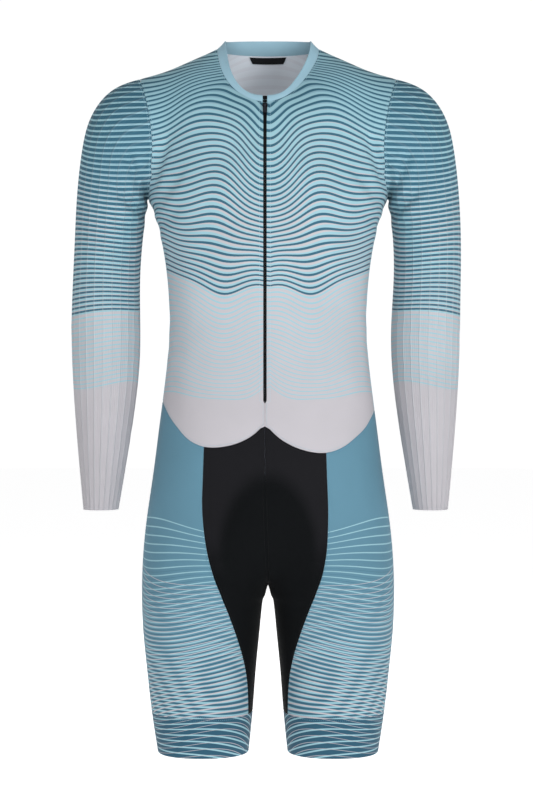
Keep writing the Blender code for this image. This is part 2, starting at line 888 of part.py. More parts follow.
def make_label(surface, materials):
    """A patch inside the back panel, just under the collar, narrower at its lower edge."""
    down = Vector((0, 0, -1))
    back = TAGS.index("back")
    seam = []
    for vert in surface.verts:
        tags = {f.material_index for f in vert.link_faces}
        if tags == {back, TAGS.index("collar")} and vert.co.y > 0:
            seam.append(vert)
    seam.sort(key=lambda v: abs(v.co.x))
    seam = sorted(seam[: 2 * LABEL["columns"] + 1], key=lambda v: v.co.x)
    grid = []
    for distance in (LABEL["top"], LABEL["low"]):
        row = [between(v, neighbour(v, down), distance) for v in seam]
        if distance == LABEL["low"]:
            share = LABEL["end inset"]
            ends = ((row[0], row[1]), (row[-1], row[-2]))
            row[0], row[-1] = [(a[0].lerp(b[0], share), a[1].lerp(b[1], share)) for a, b in ends]
        grid.append(row)
    top = -WALL - LAYER_GAP
    strip("neck_label", grid, top, top - LABEL["thickness"], materials["label"])


def main():
    clear_scene()
    surface, centre = garment_surface()
    materials = {name: make_material(name, *values) for name, values in MATERIALS.items()}
    cutter = Cutter(surface, centre)

    def tagged(*tags, side=0):
        numbers = {TAGS.index(tag) for tag in tags}

        def wanted(face):
            if face.material_index not in numbers:
                return False
            return side == 0 or (centre_side(face) > 0) == (side > 0)

        return wanted

    cutter.panel("collar", tagged("collar"), materials["collar"])
    cutter.panel("back", tagged("back"), materials["print"])
    for side, word in ((1, "left"), (-1, "right")):
        cutter.panel(f"front_{word}", tagged("front", side=side), materials["print"])
        sleeve = tagged("sleeve", side=side)
        cutter.panel(f"sleeve_{word}", sleeve, materials["print"], ribs=True)
        cutter.panel(f"leg_{word}", tagged("leg", side=side), materials["leg"])
        cutter.panel(f"inset_{word}", tagged("inset", "pad", side=side), materials["inset"])
        cutter.panel(f"gripper_{word}", tagged("gripper", side=side), materials["gripper"])
    top = -WALL - LAYER_GAP
    cutter.panel("seat_pad", tagged("pad"), materials["pad"], top, top - PAD_THICKNESS)
    make_label(surface, materials)
    make_zip(surface, centre, materials)
    surface.free()


def centre_side(face):
    """Which side of the centre plane a face lies on, before the lean."""
    middle = face.calc_center_median()
    share = smooth_step(-middle.y, 15, 70) * smooth_step(middle.z, -790, -640)
    return middle.x - FRONT_LEAN * share


def make_material(name, colour, roughness, metallic):
    material = bpy.data.materials.new(name)
    material.use_nodes = True
    shader = material.node_tree.nodes["Principled BSDF"]
    shader.inputs["Base Color"].default_value = colour
    shader.inputs["Roughness"].default_value = roughness
    shader.inputs["Metallic"].default_value = metallic
    return material


main()
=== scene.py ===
"""The looks of the time trial suit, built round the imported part.

The cloth is the same smooth surface as in the part's source, in finer steps, cut along the same
seams. Creases, seams, ribs, stitches and zip teeth are modelled, and the print is worked out from
values kept on the cloth's points. Sizes are in millimetres until a mesh is made.
"""

import json
import math

import bmesh
import bpy
import numpy as np
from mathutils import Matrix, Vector
from mathutils.bvhtree import BVHTree

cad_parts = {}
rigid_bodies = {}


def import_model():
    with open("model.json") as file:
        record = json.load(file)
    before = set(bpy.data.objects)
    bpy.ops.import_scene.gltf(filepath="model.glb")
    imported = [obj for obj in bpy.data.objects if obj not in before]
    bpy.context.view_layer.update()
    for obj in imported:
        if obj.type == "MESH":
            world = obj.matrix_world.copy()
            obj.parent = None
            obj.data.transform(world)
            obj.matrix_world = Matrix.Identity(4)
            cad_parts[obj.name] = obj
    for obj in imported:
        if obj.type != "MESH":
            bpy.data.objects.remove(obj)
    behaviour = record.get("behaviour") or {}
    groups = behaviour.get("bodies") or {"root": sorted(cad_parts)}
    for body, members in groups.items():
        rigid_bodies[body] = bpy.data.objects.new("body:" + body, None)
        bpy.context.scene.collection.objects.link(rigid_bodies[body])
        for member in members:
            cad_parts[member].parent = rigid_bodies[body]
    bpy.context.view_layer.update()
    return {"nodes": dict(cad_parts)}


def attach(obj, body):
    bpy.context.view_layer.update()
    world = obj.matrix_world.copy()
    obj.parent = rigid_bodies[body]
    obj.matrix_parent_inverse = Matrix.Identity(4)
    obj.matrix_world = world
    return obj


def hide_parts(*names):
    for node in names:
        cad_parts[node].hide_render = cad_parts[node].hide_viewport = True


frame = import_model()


def srgb(red, green, blue):
    """A colour given in steps of 0 to 255, as the shader's linear one."""
    levels = [v / 255 for v in (red, green, blue)]
    return (*[v / 12.92 if v < 0.04045 else ((v + 0.055) / 1.055) ** 2.4 for v in levels], 1.0)


BODY = "suit"
MM = 0.001
SUBDIVISION = 3
FITTING_ROUNDS = 8
SHARP_ANGLE = 50

# Points closer than this lie in one place
TOUCH = 0.001

# Cloth and seams
WALL = 1.2
SEAM_GAP = 0.3
LAYER_GAP = 0.35
SEAM_DIP = 0.35
PLACKET_OFFSET = 7.5
COLLAR_ROUND = 0.8
RIB_HEIGHT = 0.45
RIB_POWER = 1.5
RIBS_PER_COLUMN = 2
FINE_RIBS_PER_COLUMN = 8
STITCH = {"pitch": 3.0, "length": 2.1, "body": 0.45, "radius": 0.26, "offset": 2.6, "lift": 0.02}
THREADS = {"inset": "dark", "leg": "blue", "gripper": "blue"}
THREAD_SLOTS = {"light": "body", "blue": "leg", "dark": "inset"}

# How a seam is cut: the share of an edge within which a point moves onto the seam, the cosine
# above which two borders count as one line, and the least share that a sharp corner is given
SEAM_CATCH = 0.3
NEARLY_STRAIGHT = 0.9
SHARPEST_CORNER = 0.2

# Columns of the surface, counted on one side of the body
FRONT_COLUMNS = 4
UNDERARM_COLUMNS = 2
SHOULDER_COLUMNS = 10
BACK_COLUMNS = 4
CROTCH_COLUMNS = 4
SIDE_SEAM_ANGLE = -8.0
SHOULDER_SEAM_COLUMN = 10
YOKE_ROWS = 3
ROUNDNESS = 2.25

# Rings round the trunk, from under the arms to the hips
TRUNK_RINGS = (
    # height, half width, front, back
    (-264, 158.5, -120, 106),
    (-330, 147.2, -112, 95),
    (-405, 143.6, -105, 86),
    (-480, 150.0, -105, 94),
    (-550, 159.5, -107, 112),
    (-620, 169.0, -104, 125),
    (-690, 179.2, -97, 122),
)
CHEST_RING = (-205, 171, -121, 114)
HIP_RING = (-750, 184.2, -97, 121)

# The centre line under the body, from the front to the back
CROTCH_LINE = (
    # y, height
    (-66, -748),
    (-36, -770),
    (4, -778),
    (46, -771),
    (84, -748),
)

# Rings round one leg, from the crotch to the hem
LEG_RINGS = (
    # height, centre x, half width, centre y, half depth
    (-800, 96.0, 88.7, 5, 97),
    (-850, 97.6, 85.0, 4, 91),
    (-905, 97.4, 79.4, 1, 84),
    (-964, 96.2, 73.7, -1, 76.5),
    (-1022, 94.7, 66.4, -1, 70),
)
GRIPPER_RING = 3

# Rings round one arm: each runs between an outer and an inner point of the outline
ARM_RINGS = (
    # outer x, outer z, inner x, inner z, centre y, half depth, bow to the neck, underarm angle
    (188, -40, 173.5, -219, 5, 71, 14, 50),
    (229, -57, 177, -222, 5, 70, 6, 46),
    (259, -95, 179, -231, 5, 67, 0, 39),
    (273, -148, 181, -246, 5, 62, 0, 33),
    (281, -228, 184.5, -281, 5, 58, 0, 30),
    (284.5, -335, 186.5, -346, 8, 54, 0, 30),
    (284, -445, 185.0, -445, 7, 50.5, 0, 30),
    (275.5, -560, 197.0, -559, -8, 43.5, 0, 30),
    (263.5, -668, 213.5, -668, -31, 31.5, 0, 30),
)

# The collar: the seam that joins it to the body, and its free top edge
COLLAR_SEAM = {"front": (-88, -86), "side": (74.7, 5, 4), "back": (66, 6), "flare": 0.95}
COLLAR_TOP = {"front": (-80, -76), "side": (63.0, 17, 6), "back": (58, 27), "flare": 0.78}
NECK_DIP = 1.3

# The form between the collar and the chest: sections that stand on the chest's height
YOKE_FORM = (
    # distance from the centre, height of the ridge, front, back
    (0, 26, -121, 114),
    (40, 17, -120, 112),
    (75, 7, -115, 106),
    (100, -2, -108, 100),
    (140, -16, -87, 86),
    (164, -25, -69, 77),
    (190, -37, -60, 70),
)
RIDGE_Y = 5
YOKE_POWER = 2.3
YOKE_SMOOTHING = 3

# Seams drawn as lines on the surface
SCALLOP_SEAM = (
    # distance from the centre, height
    (0, -547),
    (7, -550.5),
    (15.5, -559),
    (35, -571),
    (53.5, -577.5),
    (70.5, -580.5),
    (84.5, -580.5),
    (99.5, -576.5),
    (114, -568.5),
    (126.5, -557),
    (140.7, -541.5),
    (150, -526),
    (158, -512),
)
SCALLOP_TILT = 0.05
BACK_WAIST_SEAM = (
    # distance from the centre, height
    (0, -492),
    (80, -497),
    (158, -512),
)
FRONT_INSET_SEAM = (
    # height, distance from the centre
    (-540, 85),
    (-578, 86.6),
    (-617, 88),
    (-661, 89.5),
    (-692, 88.4),
    (-723, 85.2),
    (-759, 77),
    (-794, 64),
    (-820, 54),
    (-848, 44.5),
    (-876, 36.5),
    (-901, 31.5),
    (-925, 29),
    (-970, 28),
)
BACK_INSET_SEAM = (
    # height, distance from the centre
    (-700, -25),
    (-742, 0),
    (-770, 24),
    (-800, 38),
    (-850, 40),
    (-901, 34),
    (-970, 30),
)

# The seat pad: an arch at the front, down to a level line on the inner thighs
PAD_ARCH = {"height": -735, "rise": 112, "half width": 66}
PAD_LOW = -803
PAD_THICKNESS = 5.0
PAD_EDGE = {"share of thickness": 0.35, "width": 14}
PAD_CHANNEL = {"off centre": 21.0, "width": 4, "depth": 1.2}
PAD_RISE = {"height": 2.4, "width": 10}
# Painted shade on the black cloth: darker inside the pad's arch, and darker down the thighs
PAD_PAINTED_SHADE = {"across its edge": (-14, 6), "down the thighs": (690, 770)}

# The suit hangs a little turned: its front centre line and its lower sleeves lie towards -X
FRONT_LEAN = -4.4
FRONT_LEAN_REACH = {"forward": (15, 70), "up": (-790, -640), "inward": (-150, -95)}
SLEEVE_LEAN = -3.4
SLEEVE_LEAN_REACH = (250, 420)

# The zip on the front centre line; its end is a height
ZIP_END = -511.0
ZIP_HALF_GAP = 2.4
ZIP_CLOSING = 4.0
ZIP_ROOM = 14.0
CENTRE_LINE_REACH = {"front": -60, "below the zip": 40}
COLLAR_SLOT = {"more": 0.8, "from": -118, "to": -92}
TAPE_COLUMNS = (0.2, 3.0, 6.0, 9.0, 12.0)
TAPE_TAIL = 30
STRIP_THICKNESS = 0.9
TOOTH = {"pitch": 1.5, "reach": 2.0, "half length": 0.589, "half height": 0.825, "corner": 0.6, "sunk": 0.8}
TOOTH_PROFILE = (
    # shares of the reach, half length and half height
    (-0.35, 0.45, 0.55),
    (0.1, 0.5, 0.8),
    (0.75, 0.42, 0.7),
    (1.0, 0.3, 0.4),
)

# The label, whose rows run down from the collar seam
LABEL_HALF = 28.5
LABEL_ROWS = (2.0, 4.0, 6.0, 8.0, 10.0, 12.0)
LABEL_NARROWING = 0.27

# Creases of the worn suit; those of the trunk lie a little lower on the wearer's right
CREASES = (
    # part, side of the body, start x, start z, end x, end z, width, depth
    ("trunk", "front", 168, -200, 143, -128, 7, 5.0),
    ("trunk", "front", 163, -226, 120, -182, 7, 4.2),
    ("trunk", "front", 158, -254, 122, -232, 8, 2.8),
    ("trunk", "back", 168, -198, 138, -118, 8, 3.0),
    ("trunk", "back", 158, -226, 108, -176, 9, 2.0),
    ("trunk", "back", 150, -262, 96, -236, 10, 1.3),
    ("sleeve", "front", 178, -216, 205, -150, 7, 5.4),
    ("sleeve", "front", 184, -240, 224, -202, 7, 5.2),
    ("sleeve", "front", 185, -262, 230, -250, 8, 2.6),
    ("sleeve", "back", 180, -216, 208, -148, 7, 3.8),
    ("sleeve", "back", 186, -240, 228, -204, 8, 2.4),
    ("sleeve", "front", 186, -392, 228, -410, 9, 1.8),
    ("sleeve", "front", 187, -424, 240, -432, 8, 1.4),
    ("sleeve", "front", 190, -458, 222, -452, 10, 1.2),
    ("sleeve", "back", 262, -402, 282, -420, 9, 1.3),
    ("sleeve", "front", 206, -560, 238, -572, 8, 0.9),
    ("trunk", "front", 140, -388, 96, -402, 13, 1.0),
    ("trunk", "front", 143, -425, 104, -416, 12, 0.8),
    ("trunk", "back", 0, -392, 92, -404, 14, 1.6),
    ("trunk", "back", 0, -428, 104, -442, 13, 1.2),
    ("trunk", "back", 0, -58, 0, -150, 16, 1.0),
    ("trunk", "front", 60, -742, 88, -700, 9, 1.6),
    ("trunk", "front", 40, -768, 96, -742, 9, 1.4),
    ("trunk", "front", 84, -800, 30, -776, 8, 1.1),
    ("trunk", "back", 34, -778, 128, -792, 11, 2.4),
    ("trunk", "back", 52, -806, 140, -812, 12, 1.3),
    ("trunk", "front", 150, -930, 118, -938, 10, 0.8),
)
CREASE_SHIFT = 5
CREASE_REACH = 3
CREASE_START = 0.12
CREASE_POWER = 0.6
CREASE_RIDGE = {"share of depth": 0.35, "widths away": 1.7}
CREASE_AT_SEAMS = 0.6

# Where the print's lines run
PITCHES = {
    # part: distance between lines at the top, and how much it grows for each mm up
    "trunk": (10.2, 0.0085),
    "sleeve": (8.2, 0.0045),
    "leg": (13.5, 0.0072),
    "gripper": (7.6, 0.0),
}
WAVES = {
    # part: rows of size in lines, turns round the body, turns per metre down, phase
    "trunk": ((2.1, 2, 1.3, 0.4), (0.9, 4, -2.1, 2.0), (0.35, 6, 3.3, 1.1)),
    "sleeve": ((0.9, 1, 1.2, 0.6), (0.45, 2, -2.2, 2.4)),
    "leg": ((1.7, 1, 2.1, 1.9), (0.9, 2, -3.0, 0.2)),
    "gripper": ((1.9, 1, 3.0, 0.5), (0.7, 2, 1.0, 2.6)),
}
DRIFTS = {
    # part: how the second set of lines moves past the first, in the same columns
    "trunk": ((0.15, 2, 3.1, 2.8), (0.07, 3, -1.4, 0.9)),
    "sleeve": ((0.2, 1, 2.6, 1.4), (0.08, 3, 1.0, 0.3)),
    "leg": ((2.3, 1, -2.4, 0.8), (0.6, 2, 2.0, 1.5)),
    "gripper": ((1.6, 1, 2.0, 2.2), (0.4, 2, 0.6, 0.7)),
}
CENTRES = {
    # part: x and y of the line round which the waves turn
    "trunk": (0, 0),
    "sleeve": (232, 5),
    "leg": (97, 0),
    "gripper": (97, 0),
}
SECOND_SET_SHIFT = 0.42
KEPT_VALUES = ("line_one", "line_two", "inside", "painted_pad_shade")

# Colours, and the lines of each printed cloth
LILAC = srgb(172, 169, 174)
CYAN = srgb(138, 177, 188)
DEEP = srgb(46, 90, 109)
MIST = srgb(122, 159, 174)
BLUE = srgb(84, 124, 142)
INSIDE = srgb(240, 244, 252)
BLACK = srgb(22, 22, 25)
# The black cloth's painted shade, inside the pad's arch and low on the thighs
BLACK_PAINTED_SHADE = srgb(7, 9, 11)
LINE_EDGE = 0.045
PRINT_LINES = (
    # set, shift in counts, colour, first count and width, last count and width
    ("line_two", 0.5, MIST, (-8, 1.1), (26, 0.05)),
    ("line_two", 0.0, CYAN, (-8, 0.64), (64, 0.25)),
    ("line_one", 0.0, DEEP, (-8, 0.38), (40, 0.36)),
)
SLEEVE_LINES = (
    ("line_two", 0.5, MIST, (-8, 1.15), (42, 0.05)),
    ("line_two", 0.0, CYAN, (-8, 0.64), (70, 0.32)),
    ("line_one", 0.0, DEEP, (-8, 0.74), (52, 0.44)),
)
LEG_LINES = (
    ("line_one", 0.5, DEEP, (70, 0.05), (110, 0.5)),
    ("line_one", 0.0, CYAN, (63, 0.14), (110, 0.42)),
    ("line_two", 0.0, LILAC, (72, 0.1), (110, 0.3)),
)
GRIPPER_LINES = (
    ("line_one", 0.0, CYAN, (0, 0.22), (200, 0.22)),
    ("line_two", 0.0, LILAC, (0, 0.08), (200, 0.08)),
)
LINE_FADE = 12.0
PRINT_THROUGH = 0.14

# The fine relief of each kind of surface
KNIT = {"wale": 0.9, "course": 0.7, "depth": 0.05}
# Painted highlight on the sleeves' rib crests: lighter lines that fade in from 120 mm to 400 mm down the
# sleeve
RIB_HIGHLIGHT_START = (120.0, 0.05)
RIB_HIGHLIGHT = (400.0, 0.2)
RIB_CREST_HIGHLIGHT = srgb(196, 206, 212)
CREST = {"power": 10.0, "depth": 0.6}
# The fine ribs' light is their share of the painted highlight
FINE_RIB = {"power": 3.0, "depth": 0.25, "light": 0.3}
WEAVE = {"across": 0.6, "down": 0.5, "depth": 0.12}
COLOUR_DETAIL = 3.0
GRAIN = {
    # surface: bumps per metre, their detail and depth
    "print": (60.0, 2.0, 0.25),
    "plain": (60.0, 2.0, 0.2),
    "metal": (900.0, 3.0, 0.03),
    "thread": (2500.0, 1.0, 0.08),
}
UNEVENNESS = {
    # surface: how far its colour varies, and in how many patches per metre
    "print": (0.07, 14.0),
    "plain": (0.1, 14.0),
    "woven": (0.12, 60.0),
    "metal": (0.08, 300.0),
    "thread": (0.12, 120.0),
    "floor": (0.01, 2.0),
}

# Camera, lights and floor, in metres
CAMERA = {"distance": 2.7, "x": -0.0022, "height": -0.5098, "frame height": 1.172, "sensor": 36.0}
FLOOR = {"height": -1.12, "radius": 14.0, "steps": 64, "glow": 0.8}
LIGHTS = (
    # name, place, what it points at, size, power
    ("key", (1.9, -2.5, 0.0), (0.0, 0.0, -0.5), 1.2, 43.0),
    ("fill", (-2.2, -2.2, -0.1), (0.0, 0.0, -0.5), 1.6, 17.0),
    ("front", (0.1, -2.4, 1.0), (0.0, 0.0, -0.3), 0.8, 22.0),
    ("back", (-0.6, 2.6, 0.6), (0.0, 0.0, -0.5), 1.6, 26.0),
)
WORLD_LIGHT = 0.2
WORLD_SEEN = 1.02
FLOOR_COLOUR = srgb(246, 246, 247)

TAGS = ("collar", "front", "back", "sleeve", "leg", "inset", "pad", "gripper")


def smooth_step(value, start, end):
    share = min(max((value - start) / (end - start), 0.0), 1.0)
    return share * share * (3 - 2 * share)


def power(value, exponent):
    return math.copysign(abs(value) ** exponent, value)


def link(obj):
    bpy.context.scene.collection.objects.link(obj)
    return obj


def along(table, position, column=1):
    """Reads a column of a table at a position, on a smooth curve through its rows."""
    rows = sorted(table)
    places = np.array([row[0] for row in rows], float)
    values = np.array([row[column] for row in rows], float)
    steps = np.diff(places)
    slopes = np.diff(values) / steps
    tangents = np.concatenate([slopes[:1], (slopes[:-1] + slopes[1:]) / 2, slopes[-1:]])
    position = min(max(position, places[0]), places[-1])
    i = int(min(np.searchsorted(places, position, side="right") - 1, len(steps) - 1))
    t = (position - places[i]) / steps[i]
    return float(
        (2 * t**3 - 3 * t**2 + 1) * values[i]
        + (t**3 - 2 * t**2 + t) * steps[i] * tangents[i]
        + (3 * t**2 - 2 * t**3) * values[i + 1]
        + (t**3 - t**2) * steps[i] * tangents[i + 1]
    )


# Rings of the surface


def oval(angle, half_width, front, back):
    """A point of a rounded section: -90 degrees is the front, 0 the side and 90 the back."""
    x = half_width * power(math.cos(math.radians(angle)), 2 / ROUNDNESS)
    y = (back - front) / 2 * power(math.sin(math.radians(angle)), 2 / ROUNDNESS)
    return x, (front + back) / 2 + y


def trunk_angles():
    """The angles of the columns round half the trunk; the side seam is one of them."""
    front = np.linspace(-90, SIDE_SEAM_ANGLE, FRONT_COLUMNS + UNDERARM_COLUMNS // 2 + 1)
    back = np.linspace(SIDE_SEAM_ANGLE, 90, BACK_COLUMNS + UNDERARM_COLUMNS // 2 + 1)
    return [*front, *back[1:]]


def trunk_ring(height, half_width, front, back):
    return [(*oval(a, half_width, front, back), height) for a in trunk_angles()]


def leg_angles():
    """Columns round a leg: the trunk's columns first, then those of the inner thigh."""
    count = len(trunk_angles()) - 1 + CROTCH_COLUMNS
    first = -180 + 360 / count * CROTCH_COLUMNS / 2
    return [first + 360 / count * i for i in range(count)]


def leg_ring(height, centre_x, half_width, centre_y, half_depth):
    points = []
    for angle in leg_angles():
        x, y = oval(angle, half_width, -half_depth, half_depth)
        points.append((centre_x + x, centre_y + y, height))
    return points


def hip_rings():
    """Where the trunk parts into legs: half a trunk ring, then the line under the crotch."""
    outer = []
    for trunk, leg in zip(trunk_ring(*HIP_RING), leg_ring(*LEG_RINGS[0])):
        outer.append(((trunk[0] + leg[0]) / 2, (trunk[1] + leg[1]) / 2, HIP_RING[0]))
    outer[0] = (0, *CROTCH_LINE[0])
    outer[-1] = (0, *CROTCH_LINE[-1])
    return outer, [(0, y, z) for y, z in CROTCH_LINE[-2:0:-1]]


def arm_ring(outer_x, outer_z, inner_x, inner_z, centre_y, half_depth, bow, underarm):
    """Starts at the front underarm point, goes over the top and ends under the arm."""
    over = np.linspace(180 - underarm, underarm - 180, SHOULDER_COLUMNS + 1)
    under = np.linspace(underarm - 180, -180 - underarm, UNDERARM_COLUMNS + 1)
    points = []
    for angle in np.radians([*over, *under[1:-1]]):
        up, forward = math.cos(angle), math.sin(angle)
        x = (outer_x + inner_x) / 2 + (outer_x - inner_x) / 2 * up - bow * forward**2
        z = (outer_z + inner_z) / 2 + (outer_z - inner_z) / 2 * up
        points.append((x, centre_y - half_depth * forward, z))
    return points


def neck_ring(line):
    """Half a ring round the neck, through its front, side and back points."""
    (front_y, front_z), (side_x, side_z, side_y), (back_y, back_z), flare = line.values()
    columns = FRONT_COLUMNS + SHOULDER_COLUMNS + BACK_COLUMNS
    points = []
    for i in range(columns + 1):
        angle = math.radians(-90 + 180 * i / columns)
        end_y, end_z = (front_y, front_z) if angle < 0 else (back_y, back_z)
        share = abs(math.sin(angle))
        x = side_x * power(max(math.cos(angle), 0.0), flare)
        z = side_z + (end_z - side_z) * share**NECK_DIP
        points.append((x if i % columns else 0.0, side_y + (end_y - side_y) * share, z))
    return points


def yoke_reach(point):
    """How much further from the middle than a point the full, rounded form lies."""
    x, y, z = point
    low = CHEST_RING[0]
    depth = abs(along(YOKE_FORM, x, 2 if y < RIDGE_Y else 3) - RIDGE_Y)
    rise = along(YOKE_FORM, x) - low
    size = (abs(y - RIDGE_Y) / depth) ** YOKE_POWER + (max(z - low, 0) / rise) ** YOKE_POWER
    return size ** (-1 / YOKE_POWER)


def yoke_rings():
    """Rings from the collar seam to the chest and the armholes, each from front to back."""
    seam = neck_ring(COLLAR_SEAM)
    armhole = arm_ring(*ARM_RINGS[0])[: SHOULDER_COLUMNS + 1]
    chest = trunk_ring(*CHEST_RING)
    edge = chest[:FRONT_COLUMNS] + armhole + chest[-BACK_COLUMNS:]
    low = CHEST_RING[0]
    rings = []
    for row in range(YOKE_ROWS + 1):
        share = row / YOKE_ROWS
        ring = []
        for start, end in zip(seam, edge):
            x, y, z = (a + (b - a) * share for a, b in zip(start, end))
            at_start = (1 / yoke_reach(start) - 1) * (1 - share) ** 2
            at_end = (1 / yoke_reach(end) - 1) * share**3
            scale = yoke_reach((x, y, z)) * (1 + at_start + at_end)
            ring.append((x, RIDGE_Y + (y - RIDGE_Y) * scale, low + (z - low) * scale))
        rings.append(evened(ring) if 0 < row < YOKE_ROWS else ring)
    rings[-1] = edge
    return rings


def evened(ring):
    """The ring with its bumps taken out; its ends stay on the centre plane."""
    points = np.array(ring)
    for _ in range(YOKE_SMOOTHING):
        points[1:-1] = points[1:-1] / 2 + (points[:-2] + points[2:]) / 4
    return [tuple(point) for point in points]


class Cage:
    """The rings of one side joined into four-sided faces, each with the tag of its panel.

    Each face also keeps where its corners lie on the flat cloth, and their column and row.
    """

    def __init__(self):
        self.points = []
        self.down = []
        self.faces = []
        self.tags = []
        self.cloth = []
        self.columns = []

    def add(self, points, upper=()):
        """New points; each lies as far down the cloth as the upper one and the way from it."""
        start = len(self.points)
        self.points.extend(points)
        for i, point in enumerate(points):
            above = upper[min(i, len(upper) - 1)] if upper else None
            length = math.dist(point, self.points[above]) + self.down[above] if upper else 0.0
            self.down.append(length)
        return list(range(start, len(self.points)))

    def lengths(self, ring, closed):
        """How far round the ring each of its points lies."""
        points = [self.points[i] for i in ring]
        found = [0.0]
        for one, other in zip(points, points[1:] + points[:1] if closed else points[1:]):
            found.append(found[-1] + math.dist(one, other))
        return found

    def band(self, upper, lower, row, tag_of, closed=False):
        above, below = (self.lengths(ring, closed) for ring in (upper, lower))
        for i in range(len(upper) - (0 if closed else 1)):
            j = (i + 1) % len(upper)
            corners = (
                # point, lengths round its ring, column, row
                (upper[i], above, i, row),
                (lower[i], below, i, row + 1),
                (lower[j], below, i + 1, row + 1),
                (upper[j], above, i + 1, row),
            )
            tag = tag_of(i)
            places = []
            for point, lengths, column, _ in corners:
                start = lengths[-1] if tag == "back" else 0.0
                places.append((lengths[column] - start, self.down[point]))
            self.faces.append(tuple(corner[0] for corner in corners))
            self.tags.append(TAGS.index(tag))
            self.cloth.append(places)
            self.columns.append([corner[2:] for corner in corners])


def half_cage():
    """One side of the body, x >= 0."""
    cage = Cage()
    rings = yoke_rings()

    def yoke_tag(i):
        return "front" if i < SHOULDER_SEAM_COLUMN else "back"

    def trunk_tag(i):
        return "front" if i < FRONT_COLUMNS + UNDERARM_COLUMNS // 2 else "back"

    upper = cage.add(neck_ring(COLLAR_TOP))
    for row, (ring, tag_of) in enumerate(zip(rings, [lambda i: "collar"] + [yoke_tag] * YOKE_ROWS)):
        lower = cage.add(ring, upper)
        cage.band(upper, lower, row, tag_of)
        upper = lower

    chest = upper[FRONT_COLUMNS]
    armpit = cage.add(arm_ring(*ARM_RINGS[0])[SHOULDER_COLUMNS + 1 :], [chest])
    shoulder = upper[FRONT_COLUMNS:-BACK_COLUMNS]
    upper = upper[: FRONT_COLUMNS + 1] + armpit[::-1] + upper[-BACK_COLUMNS - 1 :]
    for row, ring in enumerate(TRUNK_RINGS):
        lower = cage.add(trunk_ring(*ring), upper)
        cage.band(upper, lower, row, trunk_tag)
        upper = lower
    outer, crotch = hip_rings()
    lower = cage.add(outer, upper)
    cage.band(upper, lower, len(TRUNK_RINGS), trunk_tag)
    upper = lower + cage.add(crotch, [lower[-1]])
    for row, ring in enumerate(LEG_RINGS):
        lower = cage.add(leg_ring(*ring), upper)
        tag = "gripper" if row > GRIPPER_RING else "leg"
        cage.band(upper, lower, row, lambda i, tag=tag: tag, closed=True)
        upper = lower

    upper = shoulder + armpit
    for point in upper:
        cage.down[point] = 0.0
    for row, ring in enumerate(ARM_RINGS[1:]):
        lower = cage.add(arm_ring(*ring), upper)
        cage.band(upper, lower, row, lambda i: "sleeve", closed=True)
        upper = lower
    return cage


def whole_cage():
    """Both sides, sharing the points on the centre plane."""
    half = half_cage()
    points = list(half.points)
    mirror = []
    for i, (x, y, z) in enumerate(half.points):
        if abs(x) < TOUCH:
            mirror.append(i)
        else:
            mirror.append(len(points))
            points.append((-x, y, z))
    faces = half.faces + [tuple(mirror[i] for i in face[::-1]) for face in half.faces]
    cloth = half.cloth + [[(-u, v) for u, v in corners[::-1]] for corners in half.cloth]
    columns = half.columns + [corners[::-1] for corners in half.columns]
    return np.array(points, float), faces, half.tags * 2, {"cloth": cloth, "column": columns}


def smooth_surface():
    """The smooth surface that passes through every point of the rings, as a bmesh."""
    points, faces, tags, layers = whole_cage()
    mesh = bpy.data.meshes.new("surface")
    mesh.from_pydata([Vector(p) for p in points], [], faces)
    mesh.polygons.foreach_set("material_index", tags)
    for tag in TAGS:
        mesh.materials.append(None)
    for name, corners in layers.items():
        layer = mesh.uv_layers.new(name=name)
        layer.data.foreach_set("uv", np.ravel(corners))
    obj = link(bpy.data.objects.new("surface", mesh))
    smoothing = obj.modifiers.new("smooth", "SUBSURF")
    smoothing.levels = smoothing.render_levels = SUBDIVISION
    smoothing.boundary_smooth = "ALL"
    smoothing.uv_smooth = "NONE"

    def smoothed():
        bpy.context.view_layer.update()
        return obj.evaluated_get(bpy.context.evaluated_depsgraph_get()).data

    guide = points.copy()
    for _ in range(FITTING_ROUNDS):
        found = np.empty(len(smoothed().vertices) * 3)
        smoothed().vertices.foreach_get("co", found)
        guide += points - found.reshape(-1, 3)[: len(points)]
        mesh.vertices.foreach_set("co", guide.ravel())
        mesh.update()
    surface = bmesh.new()
    surface.from_mesh(smoothed())
    bpy.data.objects.remove(obj)
    return surface


# Seams cut into the surface


def on_a_panel_edge(edge):
    faces = edge.link_faces
    return len(faces) < 2 or faces[0].material_index != faces[1].material_index


def snap_to_seam(edges, height):
    """Slides points that lie close to a seam onto it, so that the cut leaves no slivers."""
    best = {}
    for edge in edges:
        a, b = edge.verts
        if height[a] * height[b] >= 0:
            continue
        share = height[a] / (height[a] - height[b])
        for vert, part, other in ((a, share, b), (b, 1 - share, a)):
            held = any(on_a_panel_edge(e) for e in vert.link_edges)
            if part < SEAM_CATCH and (not held or on_a_panel_edge(edge)):
                if vert not in best or part < best[vert][0]:
                    best[vert] = (part, vert.co.lerp(other.co, part))
    for vert, (_, place) in best.items():
        vert.co = place
        height[vert] = 0.0


def seam_ends(face, height):
    """The two corners of a face between which the seam runs, if it crosses the face."""
    verts = list(face.verts)
    zeros = [i for i, v in enumerate(verts) if height[v] == 0.0]
    for n, i in enumerate(zeros):
        for j in zeros[n + 1 :]:
            one = [height[v] for v in verts[i + 1 : j]]
            other = [height[v] for v in verts[j + 1 :] + verts[:i]]
            if one and other and (max(one) <= 0 <= min(other) or max(other) <= 0 <= min(one)):
                return verts[i], verts[j]
    return None


